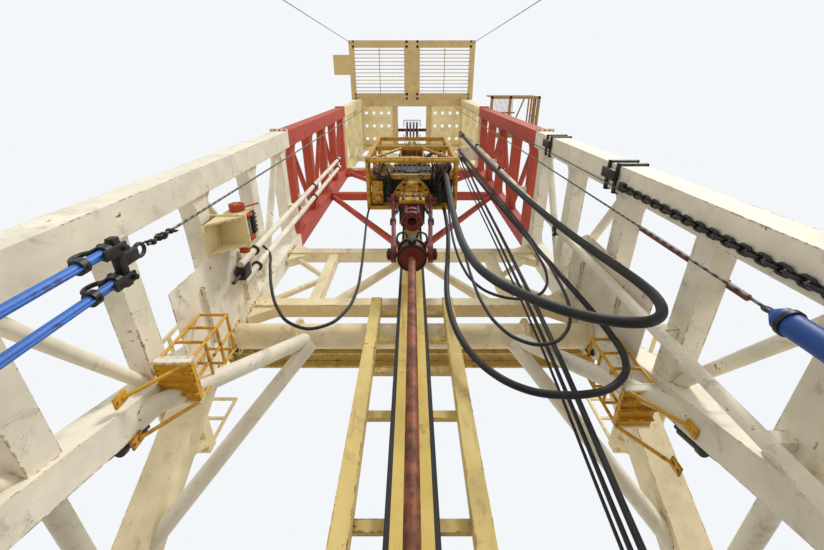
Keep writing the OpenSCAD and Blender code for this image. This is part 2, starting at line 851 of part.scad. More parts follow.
spinner_x = 2550;
spinner_y = -1320;
spinner_z = 7750;
spinner_d = 170;
spinner_h = 800;
spinner_neck_d = 60;
spinner_neck_h = 80;
module hanging_spinner() {
    color("#0b4a9e")
        translate([spinner_x, spinner_y, spinner_z]) {
            cylinder(d = spinner_d, h = spinner_h);
            translate([0, 0, spinner_h])
                cylinder(d1 = spinner_d, d2 = spinner_neck_d, h = spinner_neck_h);
        }
}

module hanging_lines() {
    tong_top = tong_z1 + tong_yoke_h + tong_stem_h;
    spinner_top = spinner_z + spinner_h + spinner_neck_h;
    color("#6b6660") {
        translate([tong_x, tong_y, tong_top]) cylinder(d = hang_d, h = z_crown - tong_top);
        translate([spinner_x, spinner_y, spinner_top])
            cylinder(d = hang_d, h = z_crown - spinner_top);
    }
}

guy_d = 28;
guy_top_x = crown_w / 2 - platform_beam_w / 2;
guy_foot_x = sub_x - 200;
guy_foot_y = -sub_y + 200;
module guy_lines() {
    color("#6b6660")
        on_both()
            intersection() {
                block(0, sub_x, -sub_y, 0, floor_h, z_crown);
                bar([guy_top_x, crown_y0 + platform_beam_w / 2, z_crown + 100],
                    [guy_foot_x, guy_foot_y, floor_h - 50], guy_d);
            }
}

// Travelling block

z_drive = floor_h + drive_z;
z_guard_top = z_drive + guard_h;
bail_z = z_guard_top + 100;
bail_h = 250;
z_block = bail_z + bail_h;
block_neck_h = 850;
block_axis_z = z_block + block_neck_h + sheave_r + 100;
block_plate_x0 = 2 * sheave_pitch;
block_plate_t = 60;
block_top = block_axis_z + sheave_r + 250;
module travelling_block() {
    color("#d9a514") {
        block(-block_plate_x0, block_plate_x0, -150, 150, z_block, z_block + block_neck_h);
        on_both()
            side_prism([[-150, z_block + 300], [150, z_block + 300], [420, block_axis_z - 300],
                [420, block_axis_z + 300], [300, block_top], [-300, block_top],
                [-420, block_axis_z + 300], [-420, block_axis_z - 300]],
                block_plate_x0, block_plate_x0 + block_plate_t);
        block(-block_plate_x0, block_plate_x0, -300, 300, block_top - 60, block_top);
        x_rod(-block_plate_x0, block_plate_x0, 0, block_axis_z, shaft_d);
    }
}

module block_sheaves() {
    color("#7a2a22")
        for (x = sheave_xs)
            sheave(x, block_axis_z);
}

module drilling_lines() {
    color("#4a4641")
        for (x = sheave_xs)
            for (s = [-1, 1])
                translate([x, s * line_y, block_axis_z])
                    cylinder(d = line_d, h = shaft_z - block_axis_z);
}

// Top drive

guard_x = guard_w / 2;
guard_y1 = 350;
guard_y0 = guard_y1 - guard_d;
gear_x = 520;
gear_y = 400;
gear_z0 = z_drive + 300;
gear_h = 1900;
gear_z1 = gear_z0 + gear_h;
bonnet_h = 700;
bail_lap = 600;
plate_y0 = -560;
plate_t = 100;
motor_y = -275;
bail_leg_w = 120;
module bail() {
    color("#d9a514") {
        block(-gear_x - bail_leg_w, gear_x + bail_leg_w, -90, 90, bail_z, bail_z + bail_h);
        on_both()
            block(gear_x, gear_x + bail_leg_w, -90, 90, gear_z1 - bail_lap, bail_z);
    }
}

module guard_ring(z) {
    t = guard_tube;
    for (y = [guard_y0, guard_y1 - t])
        block(-guard_x, guard_x, y, y + t, z, z + t);
    on_both()
        block(guard_x - t, guard_x, guard_y0, guard_y1, z, z + t);
}

module top_drive_guard() {
    t = guard_tube;
    color("#d9a514") {
        for (z = [z_drive, z_drive + guard_h * 0.48, z_guard_top - t])
            guard_ring(z);
        on_both()
            for (y = [guard_y0, guard_y1 - t])
                block(guard_x - t, guard_x, y, y + t, z_drive, z_guard_top);
        for (y = [plate_y0, gear_y - 200])
            block(-guard_x, guard_x, y, y + t, gear_z0 - plate_t - t, gear_z0 - plate_t);
        for (s = [-1, 1])
            bar([s * (guard_x - t / 2), guard_y0 + t / 2, z_drive + t / 2],
                [s * 300, guard_y0 + t / 2, z_drive + guard_h * 0.48 + t / 2], 80);
        on_both()
            for (y = [plate_y0, gear_y - 200])
                block(guard_x - t, guard_x, y, y + t, z_drive, gear_z0 - plate_t);
    }
}

module top_drive_gearbox() {
    color("#3a3733") {
        block(-guard_x + guard_tube, guard_x - guard_tube, plate_y0, gear_y - 80,
            gear_z0 - plate_t, gear_z0);
        block(-gear_x, gear_x, -gear_y, guard_y1 - guard_tube, gear_z0, gear_z1);
        translate([0, 0, gear_z1]) cylinder(r = 250, h = bonnet_h);
        translate([0, 0, z_drive - 60]) cylinder(r = 150, h = gear_z0 - z_drive);
        translate([0, 0, z_drive - 120]) cylinder(r = drive_flange_r, h = 120);
    }
}

motor_r = 240;
motor_h = 1500;
motor_x = (gear_x + guard_x - guard_tube) / 2;
module top_drive_motors() {
    color("#c79a1e")
        on_both() {
            translate([motor_x, motor_y, gear_z0]) cylinder(r = motor_r, h = motor_h);
            translate([motor_x, motor_y, gear_z0 + motor_h]) cylinder(r = motor_r * 0.7, h = 150);
        }
}

neck_x = 850;
neck_z = gear_z1 + 1500;
module gooseneck() {
    color("#3a3733")
        pipe_run([[0, 0, gear_z1 + bonnet_h], [0, 0, neck_z], [neck_x, hose_y, neck_z],
            [neck_x, hose_y, neck_z - 250]], standpipe_d);
}

shoe_h = 500;
module carriage_shoe(z) {
    g = guide_gap;
    half = guide_w / 2;
    back = guide_y + guide_flange_t + g;
    inner = guide_box_w / 2 + g;
    translate([0, 0, z]) linear_extrude(shoe_h)
        polygon([[-half - 120, guard_y1], [half + 120, guard_y1], [half + 120, back + 50],
            [inner, back + 50], [inner, back], [half + g, back], [half + g, guide_y - g],
            [-half - g, guide_y - g], [-half - g, back], [-inner, back], [-inner, back + 50],
            [-half - 120, back + 50]]);
}

module carriage() {
    color("#2a2826") {
        carriage_shoe(z_drive + 200);
        carriage_shoe(z_guard_top - 200 - shoe_h);
        for (s = [-1, 1])
            block(s * 250 - 60, s * 250 + 60, guard_y1, guide_y - guide_gap,
                z_drive + 200, z_guard_top - 200);
    }
}

hook_z = z_drive - 350;
hook_x = 480;
handler_z0 = hook_z - 1100;
module pipe_handler() {
    color("#1c1c20") {
        translate([0, 0, hook_z - 160]) cylinder(r = 225, h = 390);
        x_rod(-hook_x - 130, hook_x + 130, 0, hook_z, 150);
        translate([0, 0, handler_z0]) cylinder(r = 150, h = hook_z - handler_z0);
        block(-260, 260, -220, 220, handler_z0, handler_z0 + 450);
    }
}

eye_r = 170;
eye_hole_r = 100;
link_w = 90;
ear_x = 330;
ear_d = 100;
hook_d = 150;
eye_top_z = hook_z + hook_d / 2 - eye_hole_r;
eye_low_z = eye_top_z - link_drop;
module link() {
    difference() {
        union() {
            x_rod(hook_x - link_w / 2, hook_x + link_w / 2, 0, eye_top_z, 2 * eye_r);
            x_rod(ear_x - link_w / 2, ear_x + link_w / 2, 0, eye_low_z, 2 * eye_r);
            bar([hook_x, 0, eye_top_z - eye_hole_r - 30], [ear_x, 0, eye_low_z + eye_hole_r + 30],
                link_w);
        }
        x_rod(hook_x - link_w, hook_x + link_w, 0, eye_top_z, 2 * eye_hole_r);
        x_rod(ear_x - link_w, ear_x + link_w, 0, eye_low_z, 2 * eye_hole_r);
    }
}

module links() {
    color("#6a1f1a")
        on_both() link();
}

elevator_r = 230;
elevator_h = 330;
elevator_bore = pipe_d + 9;
ear_z = eye_low_z - eye_hole_r + ear_d / 2;
elevator_z = ear_z - 160;
elevator_top = elevator_z + elevator_h;
module elevator() {
    color("#1c1c20")
        difference() {
            union() {
                translate([0, 0, elevator_z]) cylinder(r = elevator_r, h = elevator_h);
                x_rod(-ear_x - 110, ear_x + 110, 0, ear_z, ear_d);
                on_both()
                    block(ear_x + 60, ear_x + 110, -70, 70, ear_z - 70, ear_z + 120);
            }
            translate([0, 0, elevator_z - cut])
                cylinder(d = elevator_bore, h = elevator_h + 2 * cut);
        }
}

box_l = 420;
pin_l = 350;
module drill_pipe() {
    z1 = elevator_top + box_l;
    z0 = z1 - pipe_l;
    color("#5a2a10") {
        translate([0, 0, elevator_top]) cylinder(d = tool_joint_d, h = box_l);
        translate([0, 0, z0]) cylinder(d = pipe_d, h = pipe_l - box_l + cut);
        translate([0, 0, z0]) cylinder(d = tool_joint_d, h = pin_l);
    }
}

// Hanging hoses, swept along points chosen by hand

function cross3(a, b) = [a[1] * b[2] - a[2] * b[1], a[2] * b[0] - a[0] * b[2],
    a[0] * b[1] - a[1] * b[0]];
function unit(v) = v / norm(v);
function heading(p, i) = unit(p[min(i + 1, len(p) - 1)] - p[max(i - 1, 0)]);

module swept_hose(p, d, sides) {
    n = len(p);
    rings = [for (i = [0 : n - 1])
        let (t = heading(p, i), u = unit(cross3([0, 1, 0], t)), v = cross3(t, u))
        for (k = [0 : sides - 1])
            p[i] + d / 2 * (cos(360 * k / sides) * u + sin(360 * k / sides) * v)];
    walls = [for (i = [0 : n - 2]) for (k = [0 : sides - 1])
        let (a = i * sides + k, b = i * sides + (k + 1) % sides)
        [a, a + sides, b + sides, b]];
    start = [for (k = [0 : sides - 1]) k];
    end = [for (k = [sides - 1 : -1 : 0]) (n - 1) * sides + k];
    polyhedron(points = rings, faces = concat(walls, [start], [end]));
}

// A table of points, with heights above the floor, stretched so that its ends lie at a and b
function stretched(p, a, b) =
    let (n = len(p) - 1)
    [for (i = [0 : n])
        let (k = i / n)
        [for (j = [0 : 2])
            let (base = j == 2 ? floor_h : 0)
            base + p[i][j] * ((a[j] - base) / p[0][j] * (1 - k) + (b[j] - base) / p[n][j] * k)]];

hose_d = 115;
hose_table = [[850, -650, 15550], [850, -650, 15300], [848, -650, 14000],
    [845, -650, 12400], [840, -650, 11500], [790, -650, 10000], [745, -650, 8700],
    [730, -650, 7700], [740, -650, 7100], [790, -650, 6550], [890, -650, 6100],
    [1040, -650, 5780], [1230, -650, 5520], [1450, -650, 5280], [1690, -650, 5100],
    [1930, -650, 4990], [2150, -650, 4940], [2350, -650, 4960], [2510, -650, 5060],
    [2620, -650, 5230], [2680, -650, 5460], [2680, -650, 5800], [2620, -650, 6250],
    [2520, -650, 6900], [2400, -650, 8000], [2300, -650, 9400], [2220, -650, 11400],
    [2170, -650, 14400], [2150, -650, 17400], [2150, -650, 19700], [2150, -650, 19900]];
hose_route = stretched(hose_table, [neck_x, hose_y, neck_z - 250],
    [hose_end_x, hose_y, hose_end_z]);
module rotary_hose() {
    color("#1c1c20") swept_hose(hose_route, hose_d, 10);
}

service_d = 90;
service_y = guard_y1 - guard_tube / 2;
service_table = [[850, 290, 12100], [850, 290, 11850], [845, 290, 11300],
    [800, 290, 10000], [690, 290, 8700], [600, 290, 7800], [560, 290, 7200],
    [570, 290, 6600], [630, 290, 6100], [740, 290, 5700], [900, 290, 5380],
    [1110, 290, 5140], [1350, 290, 5000], [1620, 290, 4950], [1880, 290, 4960],
    [2130, 290, 5020], [2350, 290, 5160], [2530, 290, 5360], [2640, 290, 5650],
    [2680, 290, 6100], [2670, 290, 6700], [2620, 290, 7700], [2540, 290, 9200],
    [2440, 290, 11000], [2330, 290, 13400], [2240, 290, 16000], [2190, 290, 18200],
    [2150, 290, 19300], [2150, 290, 19600]];
service_route = stretched(service_table, [neck_x, service_y, z_drive],
    [hose_end_x, service_y, bracket_z]);
module service_hose() {
    color("#1c1c20") swept_hose(service_route, service_d, 10);
}

substructure_inner_left();
substructure_inner_right();
substructure_outer_left();
substructure_outer_right();
substructure_cross_beams();
spreaders();
standpipes();
rotary_beams();
floor_joists();
drill_floor();
rotary_table();
floor_railings();
mast_feet();
mast_lower_left();
mast_lower_right();
mast_middle_left();
mast_middle_right();
mast_top_left();
mast_top_right();
main_girt();
back_bracing_lower();
back_bracing_middle();
back_bracing_top();
a_frame_left();
a_frame_right();
brace_pipes();
side_platform_left();
side_platform_right();
rear_walkway();
crown_frame();
crown_deck();
crown_platform();
crown_gratings();
crown_shaft();
crown_sheaves();
racking_board();
hose_bracket();
guide_columns();
guide_beam();
winch();
hanging_tong();
hanging_spinner();
hanging_lines();
guy_lines();
travelling_block();
block_sheaves();
drilling_lines();
bail();
top_drive_guard();
top_drive_gearbox();
top_drive_motors();
gooseneck();
carriage();
pipe_handler();
links();
elevator();
drill_pipe();
rotary_hose();
service_hose();
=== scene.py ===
"""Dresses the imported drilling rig: weathered paint, steel and rubber, and the gear in its mast."""

import json
import math
import random
from functools import partial

import bmesh
import bpy
from mathutils import Matrix, Vector


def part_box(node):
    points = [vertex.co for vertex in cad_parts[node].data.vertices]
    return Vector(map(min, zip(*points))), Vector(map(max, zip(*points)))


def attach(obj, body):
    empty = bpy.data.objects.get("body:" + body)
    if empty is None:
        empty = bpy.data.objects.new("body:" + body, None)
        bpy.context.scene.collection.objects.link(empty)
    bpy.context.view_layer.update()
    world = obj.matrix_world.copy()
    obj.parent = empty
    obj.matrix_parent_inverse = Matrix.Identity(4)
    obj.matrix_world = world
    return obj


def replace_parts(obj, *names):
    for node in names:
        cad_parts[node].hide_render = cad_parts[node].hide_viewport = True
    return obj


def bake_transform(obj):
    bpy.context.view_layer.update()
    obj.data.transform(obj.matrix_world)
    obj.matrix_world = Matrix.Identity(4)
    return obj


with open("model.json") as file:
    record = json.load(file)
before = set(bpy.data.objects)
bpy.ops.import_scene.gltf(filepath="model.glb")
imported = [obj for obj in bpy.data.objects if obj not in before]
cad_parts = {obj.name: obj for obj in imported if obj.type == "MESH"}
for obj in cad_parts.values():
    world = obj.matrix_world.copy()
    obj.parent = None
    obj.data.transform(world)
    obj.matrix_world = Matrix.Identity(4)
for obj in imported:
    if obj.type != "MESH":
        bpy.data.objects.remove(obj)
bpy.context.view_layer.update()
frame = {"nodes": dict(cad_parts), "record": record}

bl_info = {
    "name": "Drilling rig",
    "version": (1, 0, 0),
    "blender": (4, 5, 0),
    "location": "View3D > Sidebar > Rig",
    "description": "Finishes and hanging gear of a land drilling rig",
    "category": "Object",
}


def middle(node):
    """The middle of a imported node's box."""
    low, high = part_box(node)
    return (low + high) / 2


# Places taken from the frame, in metres
MAST_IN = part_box("mast_middle_right")[0].x
MAST_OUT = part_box("a_frame_right")[0].x
MAST_FRONT, MAST_REAR = (corner.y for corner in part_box("crown_frame"))
FLOOR_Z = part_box("drill_floor")[1].z
FEET_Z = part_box("mast_feet")[1].z
# Underside of the plate that the drive's motors and valves are bolted to
PLATE_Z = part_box("top_drive_motors")[0].z - 0.1
CHORD = 0.35
GIRT = 0.25
# Directions, where inward and outward are meant on the right side of the rig
UP, DOWN, FORWARD = (0, 0, 1), (0, 0, -1), (0, -1, 0)
INWARD, OUTWARD = (-1, 0, 0), (1, 0, 0)
# Edges that turn less than this are shaded round
SOFT_EDGE = math.radians(38)


def linear(hex_colour):
    """An sRGB hex colour as linear red, green, blue and alpha."""
    parts = [int(hex_colour[i:i + 2], 16) / 255 for i in (1, 3, 5)]
    return [c / 12.92 if c <= 0.04045 else ((c + 0.055) / 1.055) ** 2.4 for c in parts] + [1.0]


def paint_property(name, description, hex_colour):
    """A colour that a user can change in the sidebar."""
    return bpy.props.FloatVectorProperty(name=name, description=description, subtype="COLOR", size=3,
                                         min=0.0, max=1.0, default=linear(hex_colour)[:3])


def size_property(name, description, metres):
    """A length that a user can change in the sidebar."""
    return bpy.props.FloatProperty(name=name, description=description, default=metres,
                                   precision=4, unit="LENGTH")


def add_node(tree, kind, inputs=None, **settings):
    """Adds a node, sets its properties, and fills its inputs with values, links or first outputs."""
    node = tree.nodes.new("ShaderNode" + kind)
    for name, value in settings.items():
        setattr(node, name, value)
    for key, value in (inputs or {}).items():
        if isinstance(value, bpy.types.Node):
            value = value.outputs[0]
        if isinstance(value, bpy.types.NodeSocket):
            tree.links.new(value, node.inputs[key])
        else:
            node.inputs[key].default_value = value
    return node


def new_material(name):
    """An empty node material, and the function that adds nodes to it."""
    material = bpy.data.materials.new(name)
    material.use_nodes = True
    material.node_tree.nodes.clear()
    return material, partial(add_node, material.node_tree)


def finish_surface(add, inputs, height=None, strength=0.0, depth=0.0):
    """Closes a material with one principled surface, embossed where it is given a height."""
    if height:
        inputs["Normal"] = add("Bump", {"Height": height, "Strength": strength, "Distance": depth})
    add("OutputMaterial", {"Surface": add("BsdfPrincipled", inputs)})


def size_to_scale(millimetres):
    """The noise scale whose blotches measure about that many millimetres."""
    return 1000.0 / millimetres


def weathered_paint(name, paint, rust, grime, rust_cover, streak_cover, gloss, scuffs=0.3,
                    dark_flanges_beyond=None):
    """Brushed industrial enamel on steel: flat and chalky, chipped to rust along its edges."""
    material, add = new_material(name)
    place = add("TexCoord").outputs["Object"]
    # Chips of about 60 mm gathered in patches of about half a metre
    patches = add("TexNoise", {"Vector": place, "Scale": size_to_scale(500), "Detail": 3.0,
                               "Roughness": 0.6})
    chips = add("TexNoise", {"Vector": place, "Scale": size_to_scale(60), "Detail": 6.0,
                             "Roughness": 0.65})
    mixed = add("Math", {0: patches, 1: chips}, operation="ADD")
    # The rounded normal parts from the true one only at edges, where paint wears off first
    rounded = add("Bevel", {"Radius": 0.03}, samples=4)
    facing = add("VectorMath", {0: rounded, 1: add("NewGeometry").outputs["Normal"]},
                 operation="DOT_PRODUCT").outputs["Value"]
    edge = add("MapRange", {"Value": facing, "From Min": 0.999, "From Max": 0.93, "To Max": 0.22})
    worn = add("Math", {0: mixed, 1: edge}, operation="ADD")
    rust_mask = add("MapRange", {"Value": worn, "From Min": 1.34 - rust_cover,
                                 "From Max": 1.42 - rust_cover})
    # Runs of grime hang down from joints, some 80 mm wide and a metre long
    stretched = add("Mapping", {"Vector": place, "Scale": (12.0, 12.0, 0.9)})
    runs = add("TexNoise", {"Vector": stretched, "Scale": 1.0, "Detail": 4.0, "Roughness": 0.55})
    run_mask = add("MapRange", {"Value": runs, "From Min": 0.72 - streak_cover,
                                "From Max": 0.86 - streak_cover, "To Max": 0.75})
    # Scuffs from slings and pipe, in ragged patches of about 330 mm
    scuffed = add("TexNoise", {"Vector": place, "Scale": size_to_scale(330), "Detail": 9.0,
                               "Roughness": 0.75, "Distortion": 0.6})
    scuff_mask = add("MapRange", {"Value": scuffed, "From Min": 0.55, "From Max": 0.68,
                                  "To Max": scuffs})
    shade = add("MapRange", {"Value": patches, "From Min": 0.3, "From Max": 0.7, "To Min": 0.82,
                             "To Max": 1.06})
    colour = add("Mix", {"Factor": 1.0, "A": [*paint, 1.0], "B": shade}, data_type="RGBA",
                 blend_type="MULTIPLY")
    layers = [(run_mask, grime), (scuff_mask, grime), (rust_mask, rust)]
    if dark_flanges_beyond:
        # The flanges that the carriage runs on are painted near-black
        across_x = add("SeparateXYZ", {0: place})
        width = add("Math", {0: across_x}, operation="ABSOLUTE")
        layers.append((add("Math", {0: width, 1: dark_flanges_beyond}, operation="GREATER_THAN"), "#1B1A1C"))
    for mask, layer in layers:
        colour = add("Mix", {"Factor": mask, "A": colour.outputs["Result"], "B": linear(layer)},
                     data_type="RGBA")
    rough = add("MapRange", {"Value": rust_mask, "To Min": 1.0 - gloss, "To Max": 0.9})
    finish_surface(add, {"Base Color": colour.outputs["Result"], "Roughness": rough}, chips, 0.25, 0.01)
    return material


def bare_steel(name, colour, dark, metallic, roughness, blotch_mm=90):
    """Rolled or forged steel with mill scale, oil and handling marks."""
    material, add = new_material(name)
    blotch = add("TexNoise", {"Vector": add("TexCoord").outputs["Object"],
                              "Scale": size_to_scale(blotch_mm), "Detail": 6.0, "Roughness": 0.6})
    mask = add("MapRange", {"Value": blotch, "From Min": 0.4, "From Max": 0.62})
    colours = add("Mix", {"Factor": mask, "A": linear(colour), "B": linear(dark)}, data_type="RGBA")
    rough = add("MapRange", {"Value": blotch, "To Min": roughness - 0.15, "To Max": roughness + 0.2})
    finish_surface(add, {"Base Color": colours.outputs["Result"], "Roughness": rough,
                         "Metallic": metallic}, blotch, 0.2, 0.006)
    return material


def hose_rubber(name, colour):
    """Extruded rubber cover with cloth marks: matt, dusty, faintly banded."""
    material, add = new_material(name)
    place = add("TexCoord").outputs["Object"]
    dust = add("TexNoise", {"Vector": place, "Scale": size_to_scale(250), "Detail": 5.0})
    mask = add("MapRange", {"Value": dust, "From Min": 0.45, "From Max": 0.8, "To Max": 0.25})
    colours = add("Mix", {"Factor": mask, "A": linear(colour), "B": linear("#57524A")},
                  data_type="RGBA")
    # Cloth marks lie about 50 mm apart
    bands = add("TexWave", {"Vector": place, "Scale": 6.0, "Distortion": 0.6}, bands_direction="Z")
    finish_surface(add, {"Base Color": colours.outputs["Result"], "Roughness": 0.62},
                   bands.outputs["Fac"], 0.15, 0.004)
    return material


def wire_rope(name):
    """Laid steel wire rope under old grease: dull grey with slanting strands."""
    material, add = new_material(name)
    # Strands lie about 125 mm apart along a rope, drawn coarser than life so that they show
    strands = add("TexWave", {"Vector": add("TexCoord").outputs["Object"], "Scale": 5.0,
                              "Distortion": 0.0}, bands_direction="DIAGONAL").outputs["Fac"]
    colours = add("Mix", {"Factor": strands, "A": linear("#2E2A26"), "B": linear("#7C766C")},
                  data_type="RGBA")
    finish_surface(add, {"Base Color": colours.outputs["Result"], "Roughness": 0.5, "Metallic": 0.7},
                   strands, 0.5, 0.004)
    return material


def tread_plate(name):
    """Rolled steel floor plate with raised bars, worn bright where boots and pipe cross it."""
    material, add = new_material(name)
    place = add("TexCoord").outputs["Object"]
    wear = add("TexNoise", {"Vector": place, "Scale": size_to_scale(900), "Detail": 6.0,
                            "Roughness": 0.6})
    bars = add("TexVoronoi", {"Vector": place, "Scale": size_to_scale(60)})
    colours = add("Mix", {"Factor": wear, "A": linear("#5B5048"), "B": linear("#A8A196")},
                  data_type="RGBA")
    finish_surface(add, {"Base Color": colours.outputs["Result"], "Roughness": 0.55,
                         "Metallic": 0.5}, bars, 0.4, 0.006)
    return material


# Paints by slot: name, colour property, rust, grime, cover of rust and of streaks, gloss, and then
# scuffs and the half width beyond which the flanges are painted near-black, where they differ from the
# usual
PAINTS = {
    "white_steel": ("white enamel on box steel", "white", "#7A4322", "#94866F", 0.07, 0.05, 0.35, 0.55),
    "cream_steel": ("cream enamel on box steel", "cream", "#8A4A22", "#9A8458", 0.06, 0.04, 0.35, 0.4),
    "red_steel": ("red oxide primer on box steel", "red", "#6B3216", "#6A3524", 0.06, 0.06, 0.3, 0.4),
    "tan_steel": ("tan enamel on plate", "tan", "#6B3216", "#7A633E", 0.06, 0.06, 0.3, 0.4),
    "grey_steel": ("grey enamel on rolled beams", "grey", "#6B3216", "#5A4E40", 0.06, 0.07, 0.3, 0.5),
    "yellow_steel": ("safety yellow enamel", "yellow", "#7A3F14", "#6A4A1C", 0.12, 0.09, 0.4, 0.6),
    "ivory_steel": ("ivory enamel on box steel", "ivory", "#7A4322", "#9A8763", 0.07, 0.06, 0.35, 0.5),
    # The guide beam and its columns have faded to a chalky buff, chipped brown
    "faded_yellow": ("faded yellow enamel", "faded", "#6E3A16", "#A08A62", 0.12, 0.12, 0.25, 0.75),
    "beam_yellow": ("faded yellow enamel with greased flanges", "beam", "#6E3A16", "#A0854E", 0.13,
                    0.12, 0.3, 0.75, 0.185),
    "rail_brown": ("rusted enamel on rails", "rails", "#5E3420", "#5A4636", 0.14, 0.12, 0.25, 0.7),
    "oily_yellow": ("safety yellow enamel under oil", "oily", "#5A2E14", "#33281A", 0.15, 0.2, 0.45,
                    0.85),
    "winch_orange": ("orange enamel on castings", "orange", "#3A1A12", "#2A1C18", 0.1, 0.12, 0.45, 0.7),
    "sheave_red": ("dark red enamel on castings", "sheaves", "#3A1A12", "#2A1C18", 0.06, 0.06, 0.4),
    "link_red": ("dark red enamel on forgings", "links", "#2A1714", "#241512", 0.08, 0.08, 0.5),
    "drive_body": ("charcoal enamel on castings", "drive", "#5A3218", "#201D1A", 0.06, 0.06, 0.45),
    "tong_blue": ("bright blue enamel", "tong", "#5A3A24", "#23406A", 0.03, 0.04, 0.5),
    "spinner_blue": ("deep blue enamel", "spinner", "#5A3A24", "#122B55", 0.03, 0.04, 0.5),
}
MATERIALS = {}


def make_materials(paints):
    """Every finish of the rig, by the name of its slot."""
    for slot, (name, colour, *wear) in PAINTS.items():
        MATERIALS[slot] = weathered_paint(name, getattr(paints, colour), *wear)
    MATERIALS.update({
        "dark_steel": bare_steel("oiled black castings", "#232120", "#3A3632", 0.4, 0.45),
        "pipe_steel": bare_steel("drill pipe brown with rust", "#8A4A22", "#4E2814", 0.1, 0.6, 120),
        "wire_rope": wire_rope("greased wire rope"),
        "rubber": hose_rubber("black hose rubber", "#101013"),
        "floor_plate": tread_plate("worn steel tread plate"),
    })


def smooth_line(points, steps=8):
    """A smooth line through given points, with the same number of steps between each two."""
    points = [Vector(p) for p in points]
    gaps = [(b - a).length for a, b in zip(points, points[1:])]
    ways = [(b - a) / gap for a, b, gap in zip(points, points[1:], gaps)]
    slopes = [ways[0], *((a * after + b * before) / (before + after)
                         for a, b, before, after in zip(ways, ways[1:], gaps, gaps[1:])), ways[-1]]
    line = []
    for i, gap in enumerate(gaps):
        for step in range(steps):
            t = step / steps
            line.append((2 * t**3 - 3 * t**2 + 1) * points[i] + (t**3 - 2 * t**2 + t) * gap * slopes[i]
                        + (3 * t**2 - 2 * t**3) * points[i + 1] + (t**3 - t**2) * gap * slopes[i + 1])
    return [*line, points[-1]]


def turns(count, start=0.0):
    """Angles that share out a full turn."""
    return [math.tau * (k + start) / count for k in range(count)]


def plane(axis):
    """Two directions at right angles to an axis and to each other."""
    side = axis.orthogonal().normalized()
    return side, axis.cross(side)


def circle(centre, side, other, radius, angles):
    """Places round a circle, from one direction towards the other."""
    return [centre + radius * (math.cos(a) * side + math.sin(a) * other) for a in angles]


